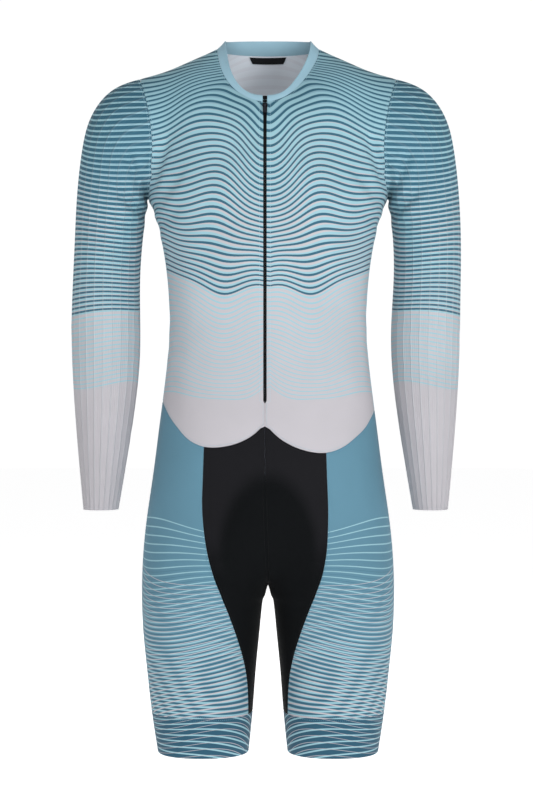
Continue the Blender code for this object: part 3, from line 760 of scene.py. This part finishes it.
def cut_seam(surface, tags, seam, below):
    """Cuts the faces with these tags where seam(point) is 0, and tags the side under 0."""
    wanted = {TAGS.index(tag) for tag in tags}
    faces = [f for f in surface.faces if f.material_index in wanted]
    height = {v: seam(v.co) for v in {v for f in faces for v in f.verts}}
    edges = {e for f in faces for e in f.edges}
    snap_to_seam(sorted(edges, key=lambda e: e.index), height)
    for edge in edges:
        a, b = edge.verts
        if height[a] * height[b] < 0:
            share = height[a] / (height[a] - height[b])
            _, middle = bmesh.utils.edge_split(edge, a, share)
            height[middle] = 0.0
    for face in faces:
        pair = seam_ends(face, height)
        if pair:
            bmesh.utils.face_split(face, *pair)
    for face in surface.faces:
        if face.material_index in wanted and sum(height.get(v, 0.0) for v in face.verts) < 0:
            face.material_index = TAGS.index(below)
    surface.verts.index_update()
    surface.edges.index_update()
    surface.faces.index_update()


def waist_seam(point):
    if point.y > 0:
        return point.z - along(BACK_WAIST_SEAM, abs(point.x))
    return point.z - along(SCALLOP_SEAM, abs(point.x)) + SCALLOP_TILT * point.x


def inset_seam(point):
    table = FRONT_INSET_SEAM if point.y < 0 else BACK_INSET_SEAM
    return abs(point.x) - along(table, point.z)


def pad_seam(point):
    """Negative inside the pad's outline."""
    low, rise, half_width = PAD_ARCH.values()
    if point.z < low:
        return PAD_LOW - point.z
    arch = math.hypot(point.x / half_width, (point.z - low) / rise)
    return (arch - 1) * half_width if point.y < 0 else -half_width


def is_centre(vert):
    return abs(vert.co.x) < TOUCH


def has_only(vert, tag):
    """Whether a point lies within the faces of one tag."""
    return all(TAGS[f.material_index] == tag for f in vert.link_faces)


def split_zip_line(surface):
    """Adds points to the front centre line where the zip ends and its slot closes."""
    for height in (ZIP_END, ZIP_END - ZIP_CLOSING):
        for edge in list(surface.edges):
            a, b = edge.verts
            crosses = (a.co.z - height) * (b.co.z - height) < 0
            if crosses and is_centre(a) and is_centre(b) and a.co.y < 0:
                bmesh.utils.edge_split(edge, a, (a.co.z - height) / (a.co.z - b.co.z))


def front_lean(point):
    """How far the lean moves a point near the front centre line."""
    forward = smooth_step(-point.y, *FRONT_LEAN_REACH["forward"])
    return FRONT_LEAN * forward * smooth_step(point.z, *FRONT_LEAN_REACH["up"])


def off_centre(point):
    """How far a point of the leaning surface lies from its centre line."""
    return point.x - front_lean(point)


def lean(surface):
    """Turns the front and the lower sleeves a little to one side."""
    for vert in surface.verts:
        if has_only(vert, "sleeve"):
            vert.co.x += SLEEVE_LEAN * smooth_step(-vert.co.z, *SLEEVE_LEAN_REACH)
        else:
            inward = smooth_step(-abs(vert.co.x), *FRONT_LEAN_REACH["inward"])
            vert.co.x += front_lean(vert.co) * inward


def garment_surface():
    """The whole surface with its seams, and the points of its front centre line, from the top."""
    surface = smooth_surface()
    cut_seam(surface, ("front", "back"), waist_seam, "leg")
    cut_seam(surface, ("leg",), inset_seam, "inset")
    cut_seam(surface, ("inset",), pad_seam, "pad")
    split_zip_line(surface)
    surface.verts.index_update()
    bmesh.ops.recalc_face_normals(surface, faces=surface.faces)
    front, below = CENTRE_LINE_REACH.values()
    centre = [v for v in surface.verts if is_centre(v) and v.co.y < front]
    centre = [v for v in centre if v.co.z > ZIP_END - below]
    centre.sort(key=lambda v: -v.co.z)
    lean(surface)
    surface.normal_update()
    return surface, centre


def side_of(face, vert):
    return 1 if face.calc_center_median().x > vert.co.x else -1


# Creases


def crease_depth(point, part):
    """How far a point of the cloth is sunk, or raised, by the creases near it."""
    ridge_share, ridge_place = CREASE_RIDGE.values()
    total = 0.0
    for crease_part, side, x0, z0, x1, z1, width, depth in CREASES:
        if crease_part != part or (side == "front") != (point.y < 0):
            continue
        start = Vector((x0, z0))
        run = Vector((x1, z1)) - start
        place = Vector((abs(point.x), point.z)) - start
        if part == "trunk" and point.x < 0:
            place.y += CREASE_SHIFT
        share = min(max(place.dot(run) / run.length_squared, 0.0), 1.0)
        off = (place - run * share).length / width
        if off > CREASE_REACH:
            continue
        fade = math.sin(math.pi * (CREASE_START + (1 - CREASE_START) * share)) ** CREASE_POWER
        ridge = math.exp(-((off - ridge_place) ** 2))
        total += depth * fade * (math.exp(-(off**2)) - ridge_share * ridge)
    return total


def add_creases(surface):
    moves = {}
    for vert in surface.verts:
        depth = crease_depth(vert.co, "sleeve" if has_only(vert, "sleeve") else "trunk")
        seam = any(on_a_panel_edge(e) for e in vert.link_edges)
        moves[vert] = vert.normal * -depth * (CREASE_AT_SEAMS if seam else 1.0)
    for vert, move in moves.items():
        vert.co += move


# The print: where its stripes run


def line_places(point, part):
    """How many lines of each set lie above a point."""
    pitch, growth = PITCHES[part]
    height = point.z
    count = -math.log1p(growth * height / pitch) / growth if growth else -height / pitch
    x, y = CENTRES[part]
    turn = math.atan2(abs(point.x) - x, y - point.y)
    if part == "trunk":
        turn = math.pi * math.sin(turn / 2)
    sums = []
    for table in (WAVES[part], DRIFTS[part]):
        total = 0.0
        for size, around, down, phase in table:
            total += size * math.sin(around * turn + 2 * math.pi * down * point.z * MM + phase)
        sums.append(total)
    return count + sums[0], count + sums[0] + sums[1] + SECOND_SET_SHIFT


def part_of(tag):
    return tag if tag in PITCHES else "trunk"


# Pieces


def finish_piece(obj, node):
    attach(obj, BODY)
    if node:
        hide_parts(node)
    return obj


def painted_pad_shade_share(point):
    """Painted shade for the black cloth: 1 inside the pad's arch, standing in for the shade of its relief,
    and low on the thighs, where it darkens downwards; else 0.
    """
    low, rise, half_width = PAD_ARCH.values()
    inside = (1 - math.hypot(point.x / half_width, (point.z - low) / rise)) * half_width
    across, down = PAD_PAINTED_SHADE.values()
    return max(smooth_step(inside, *across), smooth_step(-point.z, *down))


def slot_half(point):
    """Half the zip's slot, which is a little wider at the collar."""
    more, start, end = COLLAR_SLOT.values()
    return ZIP_HALF_GAP + more * smooth_step(point.z, start, end)


class Tailor:
    """Makes the cloth pieces from the surface."""

    def __init__(self, surface, centre):
        self.surface = surface
        self.centre = set(centre)
        self.zip_line = {v for v in centre if v.co.z > ZIP_END - TOUCH}
        self.layers = [surface.loops.layers.uv[name] for name in ("cloth", "column")]
        self.tree = BVHTree.FromBMesh(surface)
        self.seams = []

    def is_border(self, edge, faces):
        open_zip = edge.verts[0] in self.zip_line and edge.verts[1] in self.zip_line
        return open_zip or sum(f in faces for f in edge.link_faces) == 1

    def corner(self, face, vert):
        """A point of the zip line is there twice, once for each side."""
        return vert, side_of(face, vert) if vert in self.zip_line else 0

    def inward(self, corner, faces, seam_gap, slot_gap):
        """How far a corner moves into its panel to stand clear of its seams."""
        vert, _ = corner
        pushes = []
        for face in vert.link_faces:
            if face not in faces or self.corner(face, vert) != corner:
                continue
            for edge in face.edges:
                if vert not in edge.verts or not self.is_border(edge, faces):
                    continue
                across = face.normal.cross(edge.verts[1].co - edge.verts[0].co).normalized()
                if across.dot(face.calc_center_median() - vert.co) < 0:
                    across.negate()
                slot = vert in self.zip_line and edge.other_vert(vert) in self.centre
                pushes.append((across, slot_gap if slot else seam_gap))
        if len(pushes) != 2:
            return Vector()
        (one, gap), (other, other_gap) = pushes
        turn = one.dot(other)
        if turn > NEARLY_STRAIGHT:
            return (one + other).normalized() * (gap + other_gap) / 2
        spread = max(1 - turn**2, SHARPEST_CORNER)
        return one * (gap - turn * other_gap) / spread + other * (other_gap - turn * gap) / spread

    def zip_room(self, vert):
        """How far the cloth beside the zip moves aside, so that the slot's edge doesn't fold."""
        if vert in self.centre or vert.co.y > 0:
            return Vector()
        off = off_centre(vert.co)
        near = max(1 - abs(off) / ZIP_ROOM, 0)
        above = smooth_step(vert.co.z, ZIP_END - ZIP_CLOSING, ZIP_END)
        return Vector((math.copysign(slot_half(vert.co) * near * above, off), 0, 0))

    def panel(self, node, wanted, material, slot, outer=None, inner=None):
        """A wall of cloth, with its print's values and its places on the flat cloth."""
        faces = [f for f in self.surface.faces if wanted(f)]
        chosen = set(faces)
        solid = bmesh.new()
        layers = [solid.loops.layers.uv.new(name) for name in ("cloth", "column")]
        kept = [solid.verts.layers.float.new(name) for name in KEPT_VALUES]
        pairs = {}
        for face in faces:
            part = part_of(TAGS[face.material_index])
            for loop in face.loops:
                vert, column = loop.vert, loop[self.layers[1]].uv
                corner = self.corner(face, vert)
                if corner in pairs:
                    continue
                border = any(self.is_border(e, chosen) for e in vert.link_edges)
                free = border and vert.is_boundary
                dip = SEAM_DIP if border and not free else 0.0
                inward = self.inward(corner, chosen, SEAM_GAP / 2, slot_half(vert.co))
                place = vert.co + inward + self.zip_room(vert)
                lift = outer(vert, column) if outer else 0.0
                sink = inner(vert, column) if inner else -WALL
                pair = [
                    solid.verts.new((place + vert.normal * (lift - dip)) * MM),
                    solid.verts.new((place + vert.normal * sink) * MM),
                ]
                for point, side in zip(pair, (0.0, 1.0)):
                    # The last kept value is the black cloth's painted shade
                    values = (*line_places(vert.co, part), side, painted_pad_shade_share(vert.co))
                    for layer, value in zip(kept, values):
                        point[layer] = value
                pairs[corner] = pair
        for face in faces:
            self.add_faces(solid, layers, face, chosen, pairs)
        bmesh.ops.recalc_face_normals(solid, faces=solid.faces)
        obj = make_object(f"{node}_cloth", solid, material)
        self.note_seams(node, faces, chosen)
        return finish_piece(obj, node)

    def add_faces(self, solid, layers, face, chosen, pairs):
        loops = list(face.loops)
        corners = [pairs[self.corner(face, loop.vert)] for loop in loops]
        spots = [[loop[layer].uv.copy() for layer in self.layers] for loop in loops]
        count = len(loops)
        for level, order in ((0, range(count)), (1, (0, *range(count - 1, 0, -1)))):
            made = solid.faces.new([corners[i][level] for i in order])
            self.set_places(made, layers, [spots[i] for i in order])
        for i, loop in enumerate(loops):
            if self.is_border(loop.edge, chosen):
                j = (i + 1) % len(loops)
                (a, a_in), (b, b_in) = corners[i], corners[j]
                made = solid.faces.new([a, b, b_in, a_in])
                self.set_places(made, layers, [spots[i], spots[j], spots[j], spots[i]])

    def set_places(self, face, layers, spots):
        for loop, places in zip(face.loops, spots):
            for layer, place in zip(layers, places):
                loop[layer].uv = place

    def note_seams(self, node, faces, chosen):
        """Keeps the paths that a panel's stitches follow, just inside its seams."""
        steps = {}
        for face in faces:
            for edge in face.edges:
                if not self.is_border(edge, chosen) or edge.is_boundary:
                    continue
                a, b = (self.corner(face, v) for v in edge.verts)
                steps.setdefault(a, []).append(b)
                steps.setdefault(b, []).append(a)
        done = set()
        starts = [c for c, near in steps.items() if len(near) != 2] + list(steps)
        for start in starts:
            for ahead in steps[start]:
                path = [start]
                current, following = start, ahead
                while (current, following) not in done:
                    done.update({(current, following), (following, current)})
                    path.append(following)
                    if len(steps[following]) != 2:
                        break
                    one, other = steps[following]
                    current, following = following, other if one == current else one
                if len(path) > 1:
                    self.seams.append((node, [self.stitch_point(c, chosen) for c in path]))

    def stitch_point(self, corner, chosen):
        move = self.inward(corner, chosen, STITCH["offset"], PLACKET_OFFSET)
        place, normal, _, _ = self.tree.find_nearest(corner[0].co + move)
        if "pad" in (TAGS[f.material_index] for f in corner[0].link_faces):
            place = place + normal * pad_rise(place)
        return place, normal


def make_object(name, solid, material):
    mesh = bpy.data.meshes.new(name)
    solid.to_mesh(mesh)
    solid.free()
    mesh.shade_smooth()
    mesh.set_sharp_from_angle(angle=math.radians(SHARP_ANGLE))
    mesh.materials.append(material)
    return link(bpy.data.objects.new(name, mesh))


def rib_lift(vert, column):
    """The raised lengthwise ribs of a sleeve."""
    turn = 2 * math.pi * RIBS_PER_COLUMN * column.x
    return RIB_HEIGHT * (0.5 + 0.5 * math.cos(turn)) ** RIB_POWER


def collar_lift(vert, column):
    """The collar is a little rounded between its edges."""
    return COLLAR_ROUND * math.sin(math.pi * column.y)


def pad_rise(point):
    """How far the cloth stands up over the pad."""
    return PAD_RISE["height"] * smooth_step(-pad_seam(point), 0, PAD_RISE["width"])


def pad_lift(vert, column):
    return pad_rise(vert.co) if has_only(vert, "pad") else 0.0


def pad_outside(vert, column):
    return -WALL - LAYER_GAP


def pad_inside(vert, column):
    """The pad is thin at its edge, with a channel on each side of its middle."""
    edge, width = PAD_EDGE.values()
    full = edge + (1 - edge) * smooth_step(-pad_seam(vert.co), 0, width)
    middle, width, depth = PAD_CHANNEL.values()
    channel = math.exp(-(((abs(vert.co.x) - middle) / width) ** 2))
    return pad_outside(vert, column) - (PAD_THICKNESS - depth * channel) * full


# Stitches


def add_stitch(solid, place, along_way, out, lift):
    """One stitch: a short thread, thickest in its middle."""
    across = out.cross(along_way).normalized() * STITCH["radius"]
    up = out * STITCH["radius"]
    half = along_way * STITCH["length"] / 2
    tips = [solid.verts.new((place - half) * MM), solid.verts.new((place + half) * MM)]
    rings = []
    for share in (-STITCH["body"], STITCH["body"]):
        centre = place + half * share + out * lift
        rings.append([solid.verts.new((centre + m) * MM) for m in (across, up, -across, -up)])
    for i in range(4):
        j = (i + 1) % 4
        solid.faces.new([rings[0][i], rings[0][j], rings[1][j], rings[1][i]])
        solid.faces.new([tips[0], rings[0][j], rings[0][i]])
        solid.faces.new([tips[1], rings[1][i], rings[1][j]])


def sew(solid, path, lift):
    """Stitches at an even pitch along a path."""
    left = STITCH["pitch"] / 2
    for (a, a_out), (b, b_out) in zip(path, path[1:]):
        run = b - a
        length = run.length
        if length < TOUCH:
            continue
        while left < length:
            share = left / length
            out = a_out.lerp(b_out, share).normalized()
            add_stitch(solid, a.lerp(b, share), run / length, out, lift)
            left += STITCH["pitch"]
        left -= length


def make_stitches(seams, materials):
    threads = {kind: [] for kind in THREAD_SLOTS}
    for node, path in seams:
        word = node.split("_")[0]
        lift = STITCH["lift"] + (RIB_HEIGHT / 2 if word == "sleeve" else 0.0)
        threads[THREADS.get(word, "light")].append((path, lift))
    for kind, paths in threads.items():
        solid = bmesh.new()
        for path, lift in paths:
            sew(solid, path, lift)
        bmesh.ops.recalc_face_normals(solid, faces=solid.faces)
        obj = make_object(f"stitches_{kind}", solid, materials[f"thread_{kind}"])
        finish_piece(obj, None)


# The zip, the label and the pad


def between(vert, other, distance):
    share = distance / (other.co - vert.co).length
    return vert.co.lerp(other.co, share), vert.normal.lerp(other.normal, share).normalized()


def neighbour(vert, direction):
    others = [edge.other_vert(vert) for edge in vert.link_edges]
    return max(others, key=lambda v: (v.co - vert.co).normalized().dot(direction))


def walk(vert, direction, distance):
    """A point that far across the cloth from a point of the surface."""
    while True:
        other = neighbour(vert, direction)
        step = (other.co - vert.co).length
        if step >= distance or other == vert:
            return between(vert, other, distance)
        distance -= step
        vert = other


def strip(name, grid, material):
    """A flat band just under the cloth, through rows of places with their normals."""
    solid = bmesh.new()
    top = -WALL - LAYER_GAP
    tops = [[solid.verts.new((co + n * top) * MM) for co, n in row] for row in grid]
    low = top - STRIP_THICKNESS
    lows = [[solid.verts.new((co + n * low) * MM) for co, n in row] for row in grid]
    for i in range(len(grid) - 1):
        for j in range(len(grid[0]) - 1):
            for side in (tops, lows):
                solid.faces.new([side[i][j], side[i + 1][j], side[i + 1][j + 1], side[i][j + 1]])
    bmesh.ops.bridge_loops(solid, edges=[e for e in solid.edges if e.is_boundary])
    bmesh.ops.recalc_face_normals(solid, faces=solid.faces)
    return make_object(name, solid, material)


def make_zip(centre, materials):
    rows = [v for v in centre if len(v.link_edges) > 3 or v == centre[0]]
    rows = [v for v in rows if v.co.z > ZIP_END - TAPE_TAIL]
    for word, side in (("left", Vector((1, 0, 0))), ("right", Vector((-1, 0, 0)))):
        grid = [[walk(vert, side, d) for d in TAPE_COLUMNS] for vert in rows]
        tape = strip(f"zip_tape_{word}_cloth", grid, materials["tape"])
        finish_piece(tape, f"zip_tape_{word}")
    make_teeth([v for v in centre if v.co.z > ZIP_END - TOUCH], materials)


def make_teeth(line, materials):
    """Two rows of rounded teeth that lie between each other, on the middle of the tapes."""
    solid = bmesh.new()
    place = TOOTH["pitch"]
    turn = 0
    for upper, lower in zip(line, line[1:]):
        run = lower.co - upper.co
        length = run.length
        while place < length:
            share = place / length
            out = upper.normal.lerp(lower.normal, share).normalized()
            centre = upper.co + run * share - out * TOOTH["sunk"]
            add_tooth(solid, centre, run / length, out, 1 if turn % 2 else -1)
            turn += 1
            place += TOOTH["pitch"] / 2
        place -= length
    bmesh.ops.recalc_face_normals(solid, faces=solid.faces)
    teeth = make_object("zip_teeth", solid, materials["teeth"])
    finish_piece(teeth, "zip_chain")


def add_tooth(solid, centre, down, out, side):
    """A tooth: a rounded block from one tape's edge to just past the middle."""
    across = out.cross(down).normalized() * side
    rings = []
    for share, half, height in TOOTH_PROFILE:
        spot = centre + across * TOOTH["reach"] * share
        wide = down * TOOTH["half length"] * half
        high = out * TOOTH["half height"] * height
        near = wide * TOOTH["corner"]
        ring = [spot + near + high, spot + wide, spot + near - high]
        ring += [spot - near - high, spot - wide, spot - near + high]
        rings.append([solid.verts.new(p * MM) for p in ring])
    for one, other in zip(rings, rings[1:]):
        for i in range(6):
            j = (i + 1) % 6
            solid.faces.new([one[i], one[j], other[j], other[i]])
    solid.faces.new(rings[0])
    solid.faces.new(rings[-1][::-1])


def make_label(surface, materials):
    down = Vector((0, 0, -1))
    tags = {TAGS.index("back"), TAGS.index("collar")}
    seam = [v for v in surface.verts if {f.material_index for f in v.link_faces} == tags]
    seam = sorted((v for v in seam if v.co.y > 0 and abs(v.co.x) < LABEL_HALF), key=lambda v: v.co.x)
    grid = []
    first, last = LABEL_ROWS[0], LABEL_ROWS[-1]
    for distance in LABEL_ROWS:
        keep = 1 - LABEL_NARROWING * (distance - first) / (last - first)
        row = []
        for vert in seam:
            target = vert.co.x * keep
            near = min(seam, key=lambda v: abs(v.co.x - target))
            other = neighbour(near, Vector((math.copysign(1, target - near.co.x or 1), 0, 0)))
            start, _ = between(near, other, abs(target - near.co.x))
            low, normal = walk(near, down, distance)
            row.append((low + (start - near.co), normal))
        grid.append(row)
    label = strip("neck_patch", grid, materials["label"])
    finish_piece(label, "neck_label")


# Materials


class Shader:
    """Builds a material's nodes one by one."""

    def __init__(self, name, roughness, specular, sheen=0.0, metallic=0.0):
        self.material = bpy.data.materials.new(name)
        self.material.use_nodes = True
        self.tree = self.material.node_tree
        self.inputs = self.tree.nodes["Principled BSDF"].inputs
        self.inputs["Roughness"].default_value = roughness
        self.inputs["Specular IOR Level"].default_value = specular
        self.inputs["Sheen Weight"].default_value = sheen
        self.inputs["Metallic"].default_value = metallic

    def put(self, socket, value):
        if isinstance(value, bpy.types.NodeSocket):
            self.tree.links.new(value, socket)
        else:
            socket.default_value = value

    def math(self, operation, *values, clamp=False):
        node = self.tree.nodes.new("ShaderNodeMath")
        node.operation = operation
        node.use_clamp = clamp
        for socket, value in zip(node.inputs, values):
            self.put(socket, value)
        return node.outputs[0]

    def mix(self, share, one, other):
        node = self.tree.nodes.new("ShaderNodeMix")
        node.data_type = "RGBA"
        for name, value in (("Factor_Float", share), ("A_Color", one), ("B_Color", other)):
            self.put(next(s for s in node.inputs if s.identifier == name), value)
        return node.outputs[2]

    def attribute(self, name):
        node = self.tree.nodes.new("ShaderNodeAttribute")
        node.attribute_name = name
        return node.outputs["Fac"]

    def uv(self, name):
        place = self.tree.nodes.new("ShaderNodeUVMap")
        place.uv_map = name
        parts = self.tree.nodes.new("ShaderNodeSeparateXYZ")
        self.put(parts.inputs[0], place.outputs[0])
        return parts.outputs[0], parts.outputs[1]

    def noise(self, scale, detail):
        """Noise fixed to the suit; the scale is in patches per metre."""
        place = self.tree.nodes.new("ShaderNodeTexCoord")
        node = self.tree.nodes.new("ShaderNodeTexNoise")
        self.put(node.inputs["Vector"], place.outputs["Object"])
        node.inputs["Scale"].default_value = scale
        node.inputs["Detail"].default_value = detail
        return node.outputs[0]

    def wave(self, place, pitch):
        """From 0 to 1 and back once in each pitch."""
        turn = self.math("MULTIPLY", place, 2 * math.pi / pitch)
        return self.math("MULTIPLY_ADD", self.math("SINE", turn), 0.5, 0.5)

    def ramp(self, place, start, end):
        """A smooth change between two pairs of place and value."""
        node = self.tree.nodes.new("ShaderNodeMapRange")
        node.interpolation_type = "SMOOTHSTEP"
        for socket, value in zip(node.inputs, (place, start[0], end[0], start[1], end[1])):
            self.put(socket, value)
        return node.outputs[0]

    def lines(self, attribute, shift, start, end):
        """1 on a line in the middle of each count, from a first count to a last one, and as wide
        as a share of the count that changes from one to the other."""
        count = self.math("ADD", self.attribute(attribute), shift)
        width = self.ramp(count, start, end)
        width = self.math("MULTIPLY", width, self.math("GREATER_THAN", count, start[0]))
        width = self.math("MULTIPLY", width, self.math("LESS_THAN", count, end[0]))
        off = self.math("ABSOLUTE", self.math("SUBTRACT", self.math("FRACT", count), 0.5))
        inside = self.math("SUBTRACT", self.math("MULTIPLY", width, 0.5), off)
        soft = self.math("MULTIPLY_ADD", inside, 1 / LINE_EDGE, 0.5, clamp=True)
        return self.math("MULTIPLY", soft, self.math("MULTIPLY", width, LINE_FADE, clamp=True))

    def ribs(self, column, per_column, power):
        """Narrow crests, with the first on the edge of a column."""
        turned = self.math("ADD", column, 0.25 / per_column)
        return self.math("POWER", self.wave(turned, 1 / per_column), power)

    def varied(self, colour, kind):
        """The colour with the faint unevenness of its kind of surface."""
        amount, scale = UNEVENNESS[kind]
        patches = self.noise(scale, COLOUR_DETAIL)
        level = self.math("MULTIPLY_ADD", patches, amount * 2, 1 - amount)
        node = self.tree.nodes.new("ShaderNodeVectorMath")
        node.operation = "SCALE"
        self.put(node.inputs[0], colour if isinstance(colour, bpy.types.NodeSocket) else colour[:3])
        self.put(node.inputs["Scale"], level)
        return node.outputs[0]

    def knit(self):
        """The height of the loops of a fine knit."""
        across, down = self.uv("cloth")
        wales = self.wave(across, KNIT["wale"])
        return self.math("MULTIPLY", wales, self.wave(down, KNIT["course"]))

    def grain(self, kind):
        scale, detail, depth = GRAIN[kind]
        return self.noise(scale, detail), depth

    def finish(self, kind, colour, *layers):
        """Each layer of bumps is a height from 0 to 1 with its depth in millimetres."""
        normal = None
        for height, depth in layers:
            node = self.tree.nodes.new("ShaderNodeBump")
            node.inputs["Distance"].default_value = depth * MM
            self.put(node.inputs["Height"], height)
            if normal:
                self.put(node.inputs["Normal"], normal)
            normal = node.outputs[0]
        if normal:
            self.put(self.inputs["Normal"], normal)
        self.put(self.inputs["Base Color"], self.varied(colour, kind))
        return self.material


def print_material(name, ground, line_sets, ribs=False):
    """Sets of waving lines printed on a ground colour."""
    shader = Shader(name, roughness=0.72, specular=0.2, sheen=0.06)
    colour = ground
    for attribute, shift, line_colour, start, end in line_sets:
        colour = shader.mix(shader.lines(attribute, shift, start, end), colour, line_colour)
    layers = [(shader.knit(), KNIT["depth"]), shader.grain("print")]
    if ribs:
        column, _ = shader.uv("column")
        _, down = shader.uv("cloth")
        crest = shader.ribs(column, RIBS_PER_COLUMN, CREST["power"])
        fine = shader.ribs(column, FINE_RIBS_PER_COLUMN, FINE_RIB["power"])
        # Painted highlight: the crests of the ribs are made lighter, as if they caught the light
        light = shader.math("MULTIPLY_ADD", fine, FINE_RIB["light"], crest)
        light = shader.math("MULTIPLY", light, shader.ramp(down, RIB_HIGHLIGHT_START, RIB_HIGHLIGHT))
        colour = shader.mix(light, colour, RIB_CREST_HIGHLIGHT)
        layers += [(fine, FINE_RIB["depth"]), (crest, CREST["depth"])]
    covered = shader.math("MULTIPLY", shader.attribute("inside"), 1 - PRINT_THROUGH)
    colour = shader.mix(covered, colour, INSIDE)
    return shader.finish("print", colour, *layers)


def plain_material(name, colour, roughness, knit, sheen, specular=0.3, painted_pad_shade=None):
    shader = Shader(name, roughness, specular, sheen)
    # Painted shade: mixes towards the darker colour where the kept value says so
    if painted_pad_shade:
        colour = shader.mix(shader.attribute("painted_pad_shade"), colour, painted_pad_shade)
    return shader.finish("plain", colour, (shader.knit(), knit), shader.grain("plain"))


def woven_material(name, colour):
    """Plain weave, for the tapes and the label."""
    shader = Shader(name, roughness=0.65, specular=0.15)
    place = shader.tree.nodes.new("ShaderNodeTexCoord")
    parts = shader.tree.nodes.new("ShaderNodeSeparateXYZ")
    shader.put(parts.inputs[0], place.outputs["Object"])
    across = shader.wave(parts.outputs[0], WEAVE["across"] * MM)
    down = shader.wave(parts.outputs[2], WEAVE["down"] * MM)
    weave = shader.math("MULTIPLY", across, down)
    return shader.finish("woven", colour, (weave, WEAVE["depth"]))


def hard_material(name, colour, roughness, metallic=1.0, specular=0.5):
    shader = Shader(name, roughness, specular, metallic=metallic)
    return shader.finish("metal", colour, shader.grain("metal"))


def thread_material(name, colour):
    shader = Shader(name, roughness=0.6, specular=0.2, sheen=0.05)
    return shader.finish("thread", colour, shader.grain("thread"))


def make_materials():
    return {
        "print": print_material("print", LILAC, PRINT_LINES),
        "sleeve": print_material("ribbed_print", LILAC, SLEEVE_LINES, ribs=True),
        "collar": plain_material("collar", srgb(145, 181, 197), 0.7, knit=0.05, sheen=0.1),
        "leg": print_material("leg_print", BLUE, LEG_LINES),
        "gripper": print_material("gripper_print", srgb(38, 79, 99), GRIPPER_LINES),
        "inset": plain_material(
            "inset", BLACK, 0.75, knit=0.06, sheen=0.02, specular=0.06, painted_pad_shade=BLACK_PAINTED_SHADE
        ),
        "pad": plain_material("pad", srgb(44, 46, 52), 0.9, knit=0.12, sheen=0.1),
        "label": woven_material("label", srgb(24, 24, 26)),
        "tape": woven_material("tape", srgb(9, 9, 11)),
        "teeth": hard_material("teeth", srgb(9, 9, 11), 0.6, metallic=0.0, specular=0.2),
        "slider": hard_material("slider_metal", srgb(58, 59, 64), 0.32),
        "pull": hard_material("pull_metal", srgb(50, 51, 56), 0.4),
        "thread_light": thread_material("thread_light", srgb(150, 184, 197)),
        "thread_blue": thread_material("thread_blue", srgb(96, 140, 162)),
        "thread_dark": thread_material("thread_dark", srgb(9, 10, 12)),
    }


# The whole suit


def make_cloth(surface, centre, materials):
    tailor = Tailor(surface, centre)

    def tagged(*tags, side=0):
        numbers = {TAGS.index(tag) for tag in tags}

        def wanted(face):
            if face.material_index not in numbers:
                return False
            return side == 0 or (off_centre(face.calc_center_median()) > 0) == (side > 0)

        return wanted

    collar = tailor.panel("collar", tagged("collar"), materials["collar"], "collar", collar_lift)
    tailor.panel("back", tagged("back"), materials["print"], "body")
    for side, word in ((1, "left"), (-1, "right")):
        for tag, material, slot, lift in (
            ("front", "print", "body", None),
            ("sleeve", "sleeve", "sleeve", rib_lift),
            ("leg", "leg", "leg", None),
            ("inset", "inset", "inset", pad_lift),
            ("gripper", "gripper", "gripper", None),
        ):
            tags = ("inset", "pad") if tag == "inset" else (tag,)
            chosen = tagged(*tags, side=side)
            panel = tailor.panel(f"{tag}_{word}", chosen, materials[material], slot, lift)
    make_stitches(tailor.seams, materials)
    foam = materials["pad"]
    pad = tailor.panel("seat_pad", tagged("pad"), foam, "pad", pad_outside, pad_inside)


# Camera, lights and floor


def make_camera():
    data = bpy.data.cameras.new("camera")
    data.sensor_width = CAMERA["sensor"]
    data.lens = CAMERA["sensor"] / 2 / (CAMERA["frame height"] / 2 / CAMERA["distance"])
    camera = link(bpy.data.objects.new("camera", data))
    camera.location = (CAMERA["x"], -CAMERA["distance"], CAMERA["height"])
    camera.rotation_euler = (math.pi / 2, 0, 0)
    bpy.context.scene.camera = camera


def make_lights():
    for name, place, target, size, energy in LIGHTS:
        data = bpy.data.lights.new(name, "AREA")
        data.size = size
        data.energy = energy
        light = link(bpy.data.objects.new(name, data))
        light.location = place
        aim = Vector(target) - light.location
        light.rotation_euler = aim.to_track_quat("-Z", "Y").to_euler()
    world = bpy.data.worlds.new("studio")
    world.use_nodes = True
    tree = world.node_tree
    light = tree.nodes["Background"]
    light.inputs["Color"].default_value = (1.0, 1.0, 1.0, 1.0)
    ray = tree.nodes.new("ShaderNodeLightPath")
    strength = tree.nodes.new("ShaderNodeMapRange")
    strength.inputs["To Min"].default_value = WORLD_LIGHT
    strength.inputs["To Max"].default_value = WORLD_SEEN
    tree.links.new(ray.outputs["Is Camera Ray"], strength.inputs["Value"])
    tree.links.new(strength.outputs[0], light.inputs["Strength"])
    bpy.context.scene.world = world


def make_floor():
    """A pale floor, bright enough to run into the pale world behind it."""
    solid = bmesh.new()
    ring = []
    for step in range(FLOOR["steps"]):
        turn = 2 * math.pi * step / FLOOR["steps"]
        x, y = FLOOR["radius"] * math.cos(turn), FLOOR["radius"] * math.sin(turn)
        ring.append(solid.verts.new((x, y, FLOOR["height"])))
    solid.faces.new(ring)
    shader = Shader("floor", roughness=0.9, specular=0.1)
    shader.inputs["Emission Color"].default_value = (1.0, 1.0, 1.0, 1.0)
    shader.inputs["Emission Strength"].default_value = FLOOR["glow"]
    floor = make_object("floor", solid, shader.finish("floor", FLOOR_COLOUR))


def main():
    for obj in list(bpy.data.objects):
        if obj.type in ("CAMERA", "LIGHT"):
            bpy.data.objects.remove(obj)
    surface, centre = garment_surface()
    add_creases(surface)
    surface.normal_update()
    materials = make_materials()
    make_cloth(surface, centre, materials)
    make_label(surface, materials)
    make_zip(centre, materials)
    surface.free()
    for node, material in (("zip_slider", "slider"), ("zip_pull", "pull")):
        obj = frame["nodes"][node]
        obj.data.materials.clear()
        obj.data.materials.append(materials[material])
    make_camera()
    make_lights()
    make_floor()
    bpy.context.scene.view_settings.view_transform = "Standard"


main()
